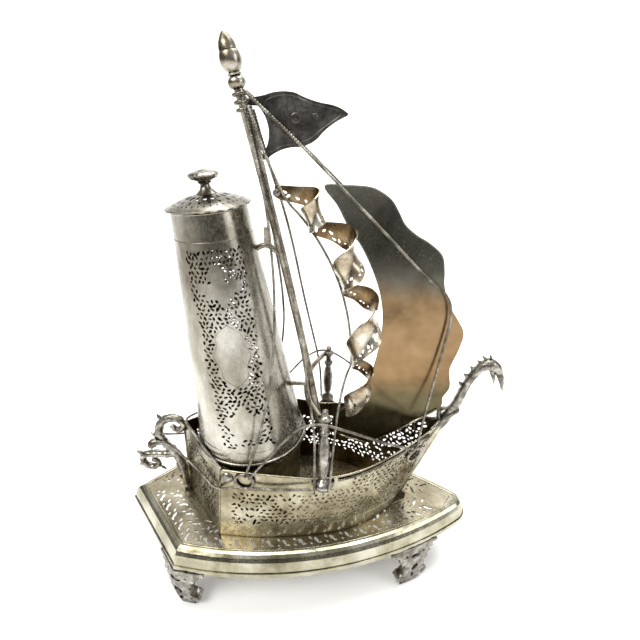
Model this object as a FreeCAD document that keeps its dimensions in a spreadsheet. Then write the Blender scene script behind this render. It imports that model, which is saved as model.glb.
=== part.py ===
import FreeCAD, Part
import math
import os
from FreeCAD import Placement, Rotation, Vector

# Ship-shaped table censer on a footed tray.  Millimetres, +Z up, bow towards +X, starboard towards -Y.
# Stations along the ship are measured from the stern corner of the tray, heights from the table.

doc = FreeCAD.newDocument("ShipCenser")

# ---------------------------------------------------------------- driving sizes

sizes = {
    # tray
    "overallReach": 310.0,       # stern corner of the tray to the tip of the beak
    "trayLength": 300.0,
    "trayShoulderStation": 58.5,
    "trayShoulderHalf": 65.5,
    "trayHalfWidth": 70.2,
    "trayTipRadius": 15.0,
    "footHeight": 50.0,
    "rimHeight": 18.0,
    "rimWidth": 8.2,
    "stripWall": 0.8,
    "stripHeight": 4.0,
    "trayWall": 1.2,
    # feet
    "footWall": 9.0,
    "footSpan": 30.0,
    "shelfWall": 4.0,
    "shelfDepth": 11.0,
    "sternFootSetback": 3.5,     # forward of the tray's shoulder
    "sternFootInset": 9.1,       # in from the tray's edge
    "bowFootSetback": 50.0,      # aft of the tray's tip
    "bowFootInset": 2.8,
    # hull
    "hullWall": 1.0,
    "hullTopHeight": 155.0,      # level of the untrimmed upper outline
    "deckLevel": 68.0,           # level the ship's heights are drawn from
    "floorWall": 1.0,
    "stemWall": 2.4,
    "stemDepth": 3.4,
    "gunwaleWire": 1.0,
    # tower
    "towerStation": 112.5,
    "towerFootHeight": 137.0,
    "towerTopStation": 93.0,
    "towerTopHeight": 318.0,
    "towerFootRadius": 41.5,
    "towerTopRadius": 24.2,
    "towerWall": 1.0,
    "towerRimWall": 2.0,
    "towerRimLip": 1.8,
    "seatRadius": 38.5,
    "seatWall": 1.2,
    # lid
    "lidRadius": 27.7,
    "lidRise": 7.5,
    "lidWall": 0.9,
    "lidCollarDepth": 5.0,
    "lidClearance": 0.35,
    "knobHeight": 15.0,
    "knobRadius": 9.4,
    # incense cup
    "cupRadius": 17.0,
    "cupDepth": 14.0,
    "cupWall": 1.2,
    # mast
    "mastRadius": 2.9,
    "mastHeadStation": 116.3,
    "mastHeadHeight": 384.8,
    "mastMidStation": 142.5,
    "mastMidHeight": 273.0,
    "mastFootStation": 173.0,
    "mastFootHeight": 112.0,
    "finialHeight": 29.3,
    "finialRadius": 6.3,
    "ballRadius": 5.2,
    "lashingWire": 1.1,
    # side posts
    "postStation": 172.5,
    "postHalf": 52.9,
    "postBase": 130.0,
    "postHeight": 64.0,
    "postTilt": 8.5,
    "postRadius": 3.6,
    "postCupRadius": 8.6,
    "postCupHeight": 17.0,
    # brackets between mast, tower and posts
    "crosstreeHeight": 184.0,
    "bracketHeight": 291.0,
    "bracketUpright": 13.0,
    # sheets, rods and ropes
    "sheetWall": 0.8,
    "sailBelly": 420.0,
    "festoonWidth": 17.0,
    "rodRadius": 1.9,
    "ropeRadius": 0.9,
    "ringRadius": 6.6,
    "ringWire": 1.2,
    "bossStation": 102.0,
    "bossRadius": 4.6,
    "bossDepth": 2.6,
}

sheet = doc.addObject("Spreadsheet::Sheet", "Sizes")
for row, (alias, value) in enumerate(sizes.items(), start=1):
    sheet.set(f"A{row}", alias)
    sheet.set(f"B{row}", f"{value:g}")
    sheet.setAlias(f"B{row}", alias)
doc.recompute()


def size(alias):
    return float(sheet.get(alias))


middle = max(size("overallReach"), size("trayLength")) / 2
plateTop = size("footHeight") + size("rimHeight")
deck = size("deckLevel")
shift = Vector(-middle, 0, 0)
sides = {"starboard": -1, "port": 1}

# ---------------------------------------------------------------- makers

nodes = []


def keep(item, name):
    item.Label = name
    nodes.append(item)
    return item


def feature(name, shape):
    item = doc.addObject("Part::Feature", name)
    item.Shape = shape
    item.Placement = Placement(shift, Rotation())
    return keep(item, name)


def originPlane(body, role):
    return next(plane for plane in body.Origin.OriginFeatures if plane.Role == role)


def addSketch(body, name, plane, geometry):
    sketch = body.newObject("Sketcher::SketchObject", name)
    sketch.AttachmentSupport = (originPlane(body, plane), [""])
    sketch.MapMode = "FlatFace"
    sketch.addGeometry(geometry, False)
    return sketch


def newBody(name, place):
    body = doc.addObject("PartDesign::Body", name)
    body.Placement = Placement(shift, Rotation()).multiply(place)
    return keep(body, name)


def pad(body, name, sketch, lengthCell, middlePad=False):
    step = body.newObject("PartDesign::Pad", name)
    step.Profile = sketch
    step.setExpression("Length", f"Sizes.{lengthCell}")
    if middlePad:
        step.SideType = "Symmetric"
    body.Tip = step
    return step


def revolve(body, name, sketch):
    step = body.newObject("PartDesign::Revolution", name)
    step.Profile = sketch
    step.ReferenceAxis = (sketch, ["V_Axis"])
    step.Angle = 360
    body.Tip = step
    return step


def outline(points):
    """Closed chain: (x, y) ends a straight run, ((mx, my), (x, y)) ends an arc through (mx, my)."""
    geometry = []
    start = points[0]
    for item in points[1:] + [points[0]]:
        if isinstance(item[0], tuple):
            through, end = item
            arc = Part.Arc(Vector(*start, 0), Vector(*through, 0), Vector(*end, 0))
            geometry.append(arc)
        else:
            end = item
            geometry.append(Part.LineSegment(Vector(*start, 0), Vector(*end, 0)))
        start = end
    return geometry


def fitted(shape, *others):
    """The shape with its neighbours' solids taken out, so that they meet face to face."""
    for other in others:
        shape = shape.cut(other)
    return shape


def fittedPiece(shape, *others):
    """As fitted, without the crumbs that a cut leaves on a neighbour's far side."""
    return max(fitted(shape, *others).Solids, key=lambda solid: solid.Volume)


def turned(profile, place):
    """Solid of revolution about the placement's own Z."""
    edges = [curve.toShape() for curve in outline(profile)]
    face = Part.Face(Part.Wire(edges))
    face.rotate(Vector(), Vector(1, 0, 0), 90)
    solid = face.revolve(Vector(), Vector(0, 0, 1), 360)
    solid.Placement = place
    return solid


def built(name):
    """A finished node's solid, back where the ship is drawn."""
    doc.recompute()
    item = next(node for node in nodes if node.Label == name)
    shape = item.Shape.copy()
    shape.translate(shift * -1)
    return shape


def prism(points, depth, y):
    """Solid standing on an outline in the ship's upright plane, from y to y + depth."""
    edges = [curve.toShape() for curve in outline(points)]
    face = Part.Face(Part.Wire(edges))
    face.rotate(Vector(), Vector(1, 0, 0), 90)
    face.translate(Vector(0, y, 0))
    return face.extrude(Vector(0, depth, 0))


def ropePath(points):
    """Straight runs joined by arcs, each as large as its two runs allow."""
    points = [Vector(*p) for p in points]
    edges = []
    radii = []
    start = points[0]
    for before, corner, after in zip(points, points[1:], points[2:]):
        back = before.sub(corner).normalize()
        ahead = after.sub(corner).normalize()
        turn = math.pi - back.getAngle(ahead)
        reach = 0.45 * min(before.distanceToPoint(corner), after.distanceToPoint(corner))
        first = corner.add(back * reach)
        last = corner.add(ahead * reach)
        radius = reach / math.tan(turn / 2)
        centreWay = back.add(ahead).normalize()
        centre = corner.add(centreWay * math.hypot(reach, radius))
        through = centre.sub(centreWay * radius)
        edges.append(Part.LineSegment(start, first).toShape())
        edges.append(Part.Arc(first, through, last).toShape())
        radii.append(round(radius, 1))
        start = last
    edges.append(Part.LineSegment(start, points[-1]).toShape())
    return Part.Wire(edges), radii


def tube(points, radius, name):
    path, radii = ropePath(points)
    way = Vector(*points[1]).sub(Vector(*points[0]))
    section = Part.Wire(Part.Circle(Vector(*points[0]), way, radius).toShape())
    solid = path.makePipeShell([section], True, False)
    expected = math.pi * radius ** 2 * path.Length
    print(f"{name}: radii {radii}, volume / expected {solid.Volume / expected:.3f}")
    return solid


def mirrored(points, side):
    return [(x, y * side, z) for x, y, z in points]


# ---------------------------------------------------------------- tray

def traySide():
    """Centre and radius of the side arc: through the shoulder, as wide as the tray, round the tip."""
    halfWidth = size("trayHalfWidth")
    tip = size("trayTipRadius")
    drop = halfWidth - size("trayShoulderHalf")
    station = size("trayShoulderStation")
    tipCentre = size("trayLength") - tip

    def excess(radius):
        aft = math.sqrt(drop * (2 * radius - drop))
        fore = math.sqrt((halfWidth - tip) * (2 * radius - tip - halfWidth))
        return station + aft + fore - tipCentre

    low, high = halfWidth, 40 * halfWidth
    for _ in range(60):
        radius = (low + high) / 2
        if excess(radius) > 0:
            high = radius
        else:
            low = radius
    aft = math.sqrt(drop * (2 * radius - drop))
    return station + aft, halfWidth - radius, radius


sideStation, sideCentre, sideRadius = traySide()


def trayOutline(inset):
    """Half outline of the tray, moved inwards: stern corner, shoulder, arc points, tip."""
    run = math.hypot(size("trayShoulderStation"), size("trayShoulderHalf"))
    alongX = size("trayShoulderStation") / run
    alongY = size("trayShoulderHalf") / run
    corner = inset / alongY
    radius = sideRadius - inset
    toCentre = Vector(sideStation - corner, sideCentre, 0)
    middleRun = toCentre.x * alongX + toCentre.y * alongY
    offset = toCentre.Length ** 2 - middleRun ** 2
    reach = middleRun + math.sqrt(radius ** 2 - offset)
    shoulder = (corner + alongX * reach, alongY * reach)
    tipCentre = size("trayLength") - size("trayTipRadius")
    lead = math.hypot(tipCentre - sideStation, sideCentre)
    away = ((tipCentre - sideStation) / lead, -sideCentre / lead)
    tipRadius = size("trayTipRadius") - inset
    meet = (tipCentre + away[0] * tipRadius, away[1] * tipRadius)
    startAngle = math.atan2(shoulder[1] - sideCentre, shoulder[0] - sideStation)
    endAngle = math.atan2(away[1], away[0])
    halfAngle = (startAngle + endAngle) / 2
    through = (sideStation + radius * math.cos(halfAngle), sideCentre + radius * math.sin(halfAngle))
    tip = (tipCentre + tipRadius, 0.0)
    return (corner, 0.0), shoulder, through, meet, tip


def trayLoop(inset):
    corner, shoulder, through, meet, tip = trayOutline(inset)

    def under(point):
        return (point[0], -point[1])

    return outline([corner, shoulder, (through, meet), (tip, under(meet)), (under(through), under(shoulder))])


def trayWire(inset, height):
    wire = Part.Wire([curve.toShape() for curve in trayLoop(inset)])
    wire.translate(Vector(0, 0, height))
    return wire


def trayPrism(inset, low, high):
    return Part.Face(trayWire(inset, low)).extrude(Vector(0, 0, high - low))


def mouldingBlock(extra, low, high):
    """Quarter-round edge: upright at the foot, leaning in to the level of the plate."""
    steps = 6
    wires = []
    for step in range(steps + 1):
        angle = math.pi / 2 * step / steps
        inset = size("stripWall") + extra + size("rimWidth") * (1 - math.cos(angle))
        height = low + (high - low) * math.sin(angle)
        wires.append(trayWire(inset, height))
    return Part.makeLoft(wires, True, True)


def buildTray():
    base = size("footHeight")
    wall = size("trayWall")
    plateInset = size("stripWall") + size("rimWidth")
    body = newBody("tray_plate", Placement(Vector(0, 0, plateTop - wall), Rotation()))
    pad(body, "PlatePad", addSketch(body, "PlateOutline", "XY_Plane", trayLoop(plateInset)), "trayWall")
    block = mouldingBlock(0, base, plateTop)
    hollow = mouldingBlock(wall, base - wall, plateTop - wall)
    moulding = block.cut(hollow).cut(trayPrism(plateInset, base - wall, plateTop + wall))
    feature("tray_moulding", moulding)
    strip = trayPrism(0, base, base + size("stripHeight"))
    strip = strip.cut(trayPrism(size("stripWall"), base - wall, plateTop))
    feature("tray_edge_strip", strip)


def trayHalfAt(station):
    """Half width of the tray at a station forward of its shoulder."""
    return sideCentre + math.sqrt(sideRadius ** 2 - (station - sideStation) ** 2)


def buildFoot(name, station, inset, side, turn):
    """Scrolled casting: stepped shelf under the rim, waisted leg with an eye, rolled toe."""
    top = size("footHeight")
    span = size("footSpan") / 2
    shelf = size("shelfWall")
    half = trayHalfAt(station) - inset
    place = Placement(Vector(station, side * half, 0), Rotation(Vector(0, 0, 1), side * turn))
    body = newBody(name, place)
    leg = [(-7.0, 0.0), (7.0, 0.0), (7.0, 3.0), ((4.6, 9.0), (6.0, 15.0)), ((8.4, 29.0), (span, top - 2 * shelf)),
           (-span, top - 2 * shelf), ((-8.4, 29.0), (-6.0, 15.0)), ((-4.6, 9.0), (-7.0, 3.0))]
    eye = Part.Circle(Vector(0, 27, 0), Vector(0, 0, 1), 3.2)
    legSketch = addSketch(body, "LegOutline", "XZ_Plane", outline(leg) + [eye])
    pad(body, "LegPad", legSketch, "footWall", True)
    step = [(-span, top - 2 * shelf), (span, top - 2 * shelf), (span + 2, top - shelf), (span + 2, top),
            (-span - 2, top), (-span - 2, top - shelf)]
    pad(body, "ShelfPad", addSketch(body, "ShelfOutline", "XZ_Plane", outline(step)), "shelfDepth", True)


# ---------------------------------------------------------------- hull

# half outline of the hull along its floor and along its upper edge: station, half width
floorLine = [(91.0, 46.8), (119.0, 48.1), (142.0, 46.6), (165.0, 44.0), (188.0, 38.8), (206.0, 30.9),
             (221.0, 21.2), (230.0, 13.0), (236.0, 3.4)]
upperLine = [(98.5, 45.6), (123.0, 48.2), (146.0, 48.4), (168.0, 47.6), (190.0, 45.6), (210.0, 39.0),
             (230.0, 28.0), (250.0, 14.6), (267.0, 3.6)]
floorApex = (53.7, 0.0)
upperApex = (56.2, 0.0)
# rise of the gunwale above the tray plate: station, height
sheerLine = [(40.0, 74.6), (56.0, 73.8), (76.0, 70.0), (98.0, 68.2), (125.0, 67.6), (146.0, 65.6), (168.0, 63.0),
             (184.0, 65.0), (206.0, 68.6), (226.0, 73.0), (245.0, 77.4), (268.0, 85.0)]


def unit(a, b):
    run = math.hypot(b[0] - a[0], b[1] - a[1])
    return (b[0] - a[0]) / run, (b[1] - a[1]) / run


def inwards(apex, line, wall):
    """The same half outline one wall further in, mitred at the shoulder."""
    chain = [apex] + line
    inner = []
    for index, point in enumerate(chain):
        if index == 0:
            ahead = unit(chain[0], chain[1])
            inner.append((point[0] + wall / ahead[1], 0.0))
            continue
        back = unit(chain[index - 1], point)
        ahead = unit(point, chain[index + 1]) if index + 1 < len(chain) else back
        normal = (back[1] + ahead[1], -(back[0] + ahead[0]))
        scale = wall * 2 / (normal[0] ** 2 + normal[1] ** 2)
        inner.append((point[0] + normal[0] * scale, point[1] + normal[1] * scale))
    return inner[0], inner[1:]


def curveEdge(points, height):
    curve = Part.BSplineCurve()
    curve.interpolate([Vector(x, y, height) for x, y in points])
    return curve.toShape()


def lineEdge(a, b, height):
    return Part.LineSegment(Vector(*a, height), Vector(*b, height)).toShape()


def wallWire(outer, inner, height, curved):
    run = curveEdge if curved else (lambda ends, level: lineEdge(ends[0], ends[1], level))
    back = list(reversed(inner))
    return Part.Wire([run(outer, height), lineEdge(outer[-1], inner[-1], height), run(back, height),
                      lineEdge(inner[0], outer[0], height)])


def sheerBlock():
    """Everything below the gunwale."""
    top = [Vector(station, 0, deck + rise) for station, rise in sheerLine]
    curve = Part.BSplineCurve()
    curve.interpolate(top)
    first, last = top[0], top[-1]
    low = deck - size("trayWall")
    corners = [last, Vector(last.x, 0, low), Vector(first.x, 0, low), first]
    edges = [curve.toShape()]
    edges += [Part.LineSegment(a, b).toShape() for a, b in zip(corners, corners[1:])]
    face = Part.Face(Part.Wire(edges))
    depth = size("trayHalfWidth")
    face.translate(Vector(0, -depth, 0))
    return face.extrude(Vector(0, 2 * depth, 0))


def buildHull():
    wall = size("hullWall")
    floorInner = inwards(floorApex, floorLine, wall)
    upperInner = inwards(upperApex, upperLine, wall)
    low = deck
    high = size("hullTopHeight")
    under = sheerBlock()
    rim = towerRim()
    for name, side in sides.items():
        def flipped(points):
            return [(x, side * y) for x, y in points]
        lower = wallWire(flipped(floorLine), flipped(floorInner[1]), low, True)
        upper = wallWire(flipped(upperLine), flipped(upperInner[1]), high, True)
        feature(f"hull_side_{name}", Part.makeLoft([lower, upper], True, True).common(under))
        lower = wallWire(flipped([floorApex, floorLine[0]]), flipped([floorInner[0], floorInner[1][0]]), low, False)
        upper = wallWire(flipped([upperApex, upperLine[0]]), flipped([upperInner[0], upperInner[1][0]]), high, False)
        panel = Part.makeLoft([lower, upper], True, True).common(under)
        feature(f"hull_stern_{name}", fitted(panel, rim, towerCone(0)))
    buildFloor(floorInner)
    buildStem()


def buildFloor(floorInner):
    apex, side = floorInner
    clear = 0.3     # the walls lean over the floor's edge
    side = [(x, y - clear) for x, y in side]
    apex = (apex[0] + clear, 0.0)
    underSide = [(x, -y) for x, y in reversed(side)]
    starboard = Part.BSplineCurve()
    starboard.interpolate([Vector(x, y, 0) for x, y in underSide])
    port = Part.BSplineCurve()
    port.interpolate([Vector(x, y, 0) for x, y in side])
    geometry = [port, Part.LineSegment(Vector(*side[-1], 0), Vector(*underSide[0], 0)), starboard,
                Part.LineSegment(Vector(*underSide[-1], 0), Vector(*apex, 0)),
                Part.LineSegment(Vector(*apex, 0), Vector(*side[0], 0))]
    body = newBody("hull_floor", Placement(Vector(0, 0, deck), Rotation()))
    pad(body, "FloorPad", addSketch(body, "FloorOutline", "XY_Plane", geometry), "floorWall")


def stemStation(height):
    """Station of the stem's after edge at a height."""
    share = (height - deck) / (size("hullTopHeight") - deck)
    return floorLine[-1][0] + (upperLine[-1][0] - floorLine[-1][0]) * share


def buildStem():
    depth = size("stemDepth")
    top = deck + sheerLine[-1][1]
    body = newBody("stem_post", Placement())
    low, high = stemStation(deck), stemStation(top)
    bar = [(low, deck), (low + depth, deck), (high + depth, top), (high, top)]
    pad(body, "StemPad", addSketch(body, "StemOutline", "XZ_Plane", outline(bar)), "stemWall", True)
    heel = low + depth
    leafTop = 7.0
    leafEnd = stemStation(deck + leafTop) + depth
    body = newBody("stem_leaf", Placement())
    leaf = [(heel, deck), (heel + 5.4, deck), ((heel + 5.2, deck + 4.4), (leafEnd, deck + leafTop))]
    pad(body, "LeafPad", addSketch(body, "LeafOutline", "XZ_Plane", outline(leaf)), "stemDepth", True)


def sheerHeight(station):
    for (x0, z0), (x1, z1) in zip(sheerLine, sheerLine[1:]):
        if x0 <= station <= x1:
            return deck + z0 + (z1 - z0) * (station - x0) / (x1 - x0)
    return deck + sheerLine[-1][1]


def hullHalf(station, height):
    """Half width of the hull's outer face at a station and height."""
    share = (height - deck) / (size("hullTopHeight") - deck)
    blend = [(fx + (ux - fx) * share, fy + (uy - fy) * share) for (fx, fy), (ux, uy) in zip(floorLine, upperLine)]
    for (x0, y0), (x1, y1) in zip(blend, blend[1:]):
        if x0 <= station <= x1:
            return y0 + (y1 - y0) * (station - x0) / (x1 - x0)
    return blend[-1][1]


def buildGunwaleRopes():
    wire = size("gunwaleWire")
    for name, side in sides.items():
        route = []
        for station in (184.0, 200.0, 216.0, 232.0, 248.0, 262.0):
            height = sheerHeight(station) - 2.6
            route.append((station, side * (hullHalf(station, height) + wire), height))
        rope = tube(route, wire, f"gunwale_rope_{name}")
        feature(f"gunwale_rope_{name}", fitted(rope, built(f"hull_side_{name}")))


# ---------------------------------------------------------------- castings at bow and stern

def buildProwBird():
    """Long-necked bird rising from the stem, beak turned down."""
    neck = [(266.0, 0, 150.0), (271.6, 0, 160.0), (276.0, 0, 172.0), (279.5, 0, 185.0), (283.5, 0, 197.0),
            (289.5, 0, 205.0), (295.0, 0, 207.5)]
    solid = tube(neck, 2.7, "prow_bird")
    headCentre = Vector(296.5, 0, 205.5)
    head = Part.makeSphere(5.0, headCentre)
    beakEnd = 0.8
    beakTip = Vector(size("overallReach") - 0.85 * beakEnd, 0, 184.0)
    beakWay = beakTip.sub(headCentre)
    beak = Part.makeCone(3.6, beakEnd, beakWay.Length, headCentre, beakWay)
    crest = Part.makeCone(2.2, 0.6, 7.0, headCentre.add(Vector(-1, 0, 3)), Vector(-0.3, 0, 1))
    whole = solid.fuse([head, beak, crest])
    feature("prow_bird", fitted(whole, built("stem_post"), built("hull_side_port"), built("hull_side_starboard")))


def buildSternScroll():
    """Branching scroll on the stern edge: curled head, bud and a side branch with a volute."""
    stalk = [(50.6, 0, 70.0), (49.6, 0, 84.0), (49.4, 0, 97.0), (44.0, 0, 110.0), (35.0, 0, 120.0), (33.0, 0, 131.0),
             (38.5, 0, 141.5), (48.0, 0, 145.5), (54.5, 0, 141.0), (51.5, 0, 135.0), (46.0, 0, 136.5)]
    solid = tube(stalk, 2.7, "stern_scroll")
    branch = Part.makeCone(2.6, 2.2, 31.0, Vector(43.0, 0, 107.5), Vector(-30.5, 0, -7.5))
    volute = Part.makeCylinder(6.0, 5.0, Vector(26.5, -2.5, 95.5), Vector(0, 1, 0))
    bud = Part.makeSphere(3.6, Vector(26.5, 0, 117.0))
    stem = Part.makeCone(2.0, 1.6, 8.5, Vector(34.5, 0, 119.0), Vector(-8.0, 0, -2.0))
    whole = solid.fuse([branch, volute, bud, stem])
    feature("stern_scroll", fitted(whole, built("hull_stern_port"), built("hull_stern_starboard")))


# ---------------------------------------------------------------- tower, lid and cup

towerFoot = Vector(size("towerStation"), 0, size("towerFootHeight"))
towerTop = Vector(size("towerTopStation"), 0, size("towerTopHeight"))
towerWay = towerTop.sub(towerFoot).normalize()
towerLean = math.degrees(math.atan2(towerWay.x, towerWay.z))
lidPlace = Placement(towerTop, Rotation(Vector(0, 1, 0), towerLean))


def towerCone(inset, above=0.0, below=0.0):
    """Solid between the level foot circle and the leaning mouth circle."""
    length = towerTop.sub(towerFoot).Length
    taper = (size("towerFootRadius") - size("towerTopRadius")) / length
    foot = Part.Circle(towerFoot.sub(towerWay * below), Vector(0, 0, 1), size("towerFootRadius") - inset + taper * below)
    mouth = Part.Circle(towerTop.add(towerWay * above), towerWay, size("towerTopRadius") - inset - taper * above)
    wires = [Part.Wire(foot.toShape()), Part.Wire(mouth.toShape())]
    return Part.makeLoft(wires, True, True)


def ring(outer, inner, low, high, centre):
    solid = Part.makeCylinder(outer, high - low, Vector(centre.x, 0, low))
    return solid.cut(Part.makeCylinder(inner, high - low, Vector(centre.x, 0, low)))


def towerRim():
    """Flat ring that carries the tower on the gunwale."""
    top = size("towerFootHeight")
    outer = size("towerFootRadius") + size("towerRimLip")
    return ring(outer, size("seatRadius") - size("seatWall"), top - size("towerRimWall"), top, towerFoot)


def buildTower():
    foot = size("towerFootHeight")
    rim = size("towerRimWall")
    wall = size("towerWall")
    feature("tower_wall", towerCone(0).cut(towerCone(wall, 2.0, 2.0)))
    feature("tower_rim", towerRim())
    seatFloor = deck + size("floorWall")
    seat = ring(size("seatRadius"), size("seatRadius") - size("seatWall"), seatFloor, foot - rim, towerFoot)
    feature("tower_seat", seat)


def buildLid():
    """Shallow coned dome, a collar that drops into the tower's mouth, and a turned knob."""
    radius = size("lidRadius")
    rise = size("lidRise")
    wall = size("lidWall")
    body = newBody("lid_dome", lidPlace)
    dome = [(0.0, rise), (3.0, rise), ((radius * 0.55, rise * 0.62), (radius, wall)), (radius, 0.0),
            (size("towerTopRadius") - 2, 0.0), ((radius * 0.5, rise * 0.62 - wall), (3.0, rise - wall)), (0.0, rise - wall)]
    revolve(body, "DomeTurn", addSketch(body, "DomeProfile", "XZ_Plane", outline(dome)))
    body = newBody("lid_collar", lidPlace)
    outer = size("towerTopRadius") - size("towerWall") - size("lidClearance")
    collar = [(outer - wall, 0.0), (outer, 0.0), (outer, -size("lidCollarDepth")), (outer - wall, -size("lidCollarDepth"))]
    revolve(body, "CollarTurn", addSketch(body, "CollarProfile", "XZ_Plane", outline(collar)))
    body = newBody("lid_knob", lidPlace)
    knob = size("knobRadius")
    top = rise + size("knobHeight")
    profile = [(0.0, rise), (6.2, rise), (5.6, rise + 1.6), ((3.4, rise + 3.6), (2.9, rise + 6.0)),
               (4.6, rise + 7.0), ((knob - 1.2, top - 6.0), (knob, top - 4.0)), ((knob - 2.6, top - 1.0), (0.8, top)), (0.0, top)]
    revolve(body, "KnobTurn", addSketch(body, "KnobProfile", "XZ_Plane", outline(profile)))


def buildCup():
    """Loose fire cup standing on the hull floor under the tower."""
    radius = size("cupRadius")
    depth = size("cupDepth")
    wall = size("cupWall")
    stand = deck + size("floorWall")
    onAxis = towerFoot.sub(towerWay * ((towerFoot.z - stand) / towerWay.z))
    body = newBody("incense_cup", Placement(Vector(onAxis.x, 0, stand + 0.05), Rotation()))
    profile = [(0.0, 0.0), (radius - 5.0, 0.0), ((radius - 1.2, 4.0), (radius, depth)), (radius - wall, depth),
               ((radius - 2.4, 4.8), (radius - 5.6, wall)), (0.0, wall)]
    revolve(body, "CupTurn", addSketch(body, "CupProfile", "XZ_Plane", outline(profile)))


# ---------------------------------------------------------------- mast and fittings

mastHead = Vector(size("mastHeadStation"), 0, size("mastHeadHeight"))
mastMid = Vector(size("mastMidStation"), 0, size("mastMidHeight"))
mastFoot = Vector(size("mastFootStation"), 0, size("mastFootHeight"))
mastArc = Part.Arc(mastHead, mastMid, mastFoot)


def mastAt(height):
    """Point on the mast's centre line and the mast's way up at a height."""
    low, high = mastArc.FirstParameter, mastArc.LastParameter
    for _ in range(50):
        probe = (low + high) / 2
        if mastArc.value(probe).z > height:
            low = probe
        else:
            high = probe
    way = mastArc.tangent(probe)[0]
    return mastArc.value(probe), way * (1 if way.z > 0 else -1)


def buildMast():
    radius = size("mastRadius")
    point, way = mastAt(mastHead.z)
    section = Part.Wire(Part.Circle(mastHead, way, radius).toShape())
    rod = Part.Wire(mastArc.toShape()).makePipeShell([section], True, False)
    feature("mast", fitted(rod, built("mast_step")))
    buildFinial(point, way)


def buildLashing():
    """Three turns of wire round the mast, over the ends of the stays."""
    wire = size("lashingWire")
    turns = []
    for drop in (2.3, 6.3, 10.3):
        centre, along = mastAt(size("mastHeadHeight") - drop)
        turns.append(Part.makeTorus(size("mastRadius") + wire, wire, centre, along))
    under = ["mast", "flag", "festoon_stay"]
    under += [f"{rope}_{name}" for rope in ("quarter_stay", "forestay", "shroud") for name in sides]
    whole = turns[0].fuse(turns[1:])
    feature("head_lashing", fitted(whole, *[built(name) for name in under]))


def buildFinial(point, way):
    """Ball, wire ring and spindle-shaped bulb at the masthead."""
    tilt = math.degrees(math.atan2(way.x, way.z))
    body = newBody("finial", Placement(point, Rotation(Vector(0, 1, 0), tilt)))
    bulb = size("finialRadius")
    ball = size("ballRadius")
    top = size("finialHeight")
    profile = [(0.0, 0.0), (2.4, 0.0), ((ball, 3.6), (2.6, 7.0)), (3.6, 7.1), ((4.1, 7.7), (3.6, 8.3)),
               (2.9, 8.5), ((5.2, 10.9), (bulb, 14.6)), ((bulb - 0.2, 17.0), (5.3, 19.2)), (4.9, 19.5),
               (5.2, 19.8), ((4.0, 24.6), (1.3, top - 0.9)), (0.0, top)]
    revolve(body, "FinialTurn", addSketch(body, "FinialProfile", "XZ_Plane", outline(profile)))


def buildMastStep():
    """Turned block on the hull floor that takes the mast's foot."""
    stand = deck + size("floorWall")
    top = size("mastFootHeight") - stand
    body = newBody("mast_step", Placement(Vector(mastFoot.x + 0.6, 0, stand), Rotation()))
    profile = [(0.0, 0.0), (9.0, 0.0), (9.0, 2.4), ((5.4, 5.0), (4.2, 10.0)), ((5.6, 16.0), (4.0, 22.0)),
               (4.0, top - 4.0), (5.0, top - 1.6), (5.0, top), (0.0, top)]
    revolve(body, "StepTurn", addSketch(body, "StepProfile", "XZ_Plane", outline(profile)))


def buildPosts():
    """Turned side posts standing on half-round corbels outside the hull."""
    radius = size("postRadius")
    top = size("postHeight")
    cup = size("postCupRadius")
    for name, side in sides.items():
        tilt = Rotation(Vector(1, 0, 0), side * size("postTilt"))
        body = newBody(f"post_{name}", Placement(Vector(size("postStation"), side * size("postHalf"), size("postBase")), tilt))
        profile = [(0.0, 0.0), (4.6, 0.0), ((6.0, 3.0), (4.2, 6.0)), (2.2, 8.4), ((radius + 0.6, 20.0), (2.0, 44.0)),
                   (3.4, 45.0), ((3.9, 46.2), (3.4, 47.4)), (2.3, 48.2), (2.5, 54.0), ((4.2, 56.6), (2.5, 59.2)),
                   (2.2, top - 1.2), (0.0, top)]
        revolve(body, "PostTurn", addSketch(body, "PostProfile", "XZ_Plane", outline(profile)))
        face = hullHalf(size("postStation"), size("postBase"))
        corbel = Part.makeSphere(cup, Vector(size("postStation"), side * face, size("postBase")))
        block = Part.makeBox(4 * cup, 4 * cup, size("postCupHeight"))
        outside = face - cup if side > 0 else -face - 3 * cup
        low = size("postBase") - size("postCupHeight")
        block.translate(Vector(size("postStation") - 2 * cup, outside, low))
        hull = Part.Solid(Part.Shell(built(f"hull_side_{name}").Faces))
        corbel = fitted(corbel.common(block), hull, built(f"post_{name}"))
        corbel = max(corbel.Solids, key=lambda solid: abs(solid.CenterOfMass.y))
        feature(f"post_cup_{name}", corbel)


def buildBrackets():
    """Bowed crosstree from post to post with a rod to the tower, and the small upper bracket."""
    rod = size("rodRadius")
    height = size("crosstreeHeight")
    towardMast = mastAt(height)[0].x - size("mastRadius") - rod + 0.4
    halfArm = size("postHalf") - 9.6
    outer = size("postStation") - rod * 1.9
    bow = 2.6
    starboardArm = [(outer, -halfArm, height + 2), (towardMast + bow, -halfArm / 2, height + 1)]
    solid = tube(starboardArm + [(towardMast, 0, height)] + mirrored(starboardArm[::-1], -1), rod, "crosstree")
    start = towerWallStation(height) - 0.6
    tie = Part.makeCylinder(rod, towardMast - start, Vector(start, 0, height), Vector(1, 0, 0))
    neighbours = [built(name) for name in ("mast", "tower_wall", "post_port", "post_starboard")]
    feature("crosstree", fittedPiece(solid.fuse(tie), *neighbours))
    height = size("bracketHeight")
    start = towerWallStation(height) - 0.6
    end = mastAt(height - 1)[0].x - size("mastRadius") + 0.4
    half = (start + end) / 2
    arm = tube([(start, 0, height), (half, 0, height + 3.5), (end, 0, height - 2)], rod, "upper_bracket")
    upright = Part.makeBox(3.2, 2.4, size("bracketUpright"), Vector(half - 1.6, -1.2, height + 1.5))
    feature("upper_bracket", fittedPiece(arm.fuse(upright), built("mast"), built("tower_wall")))


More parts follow.
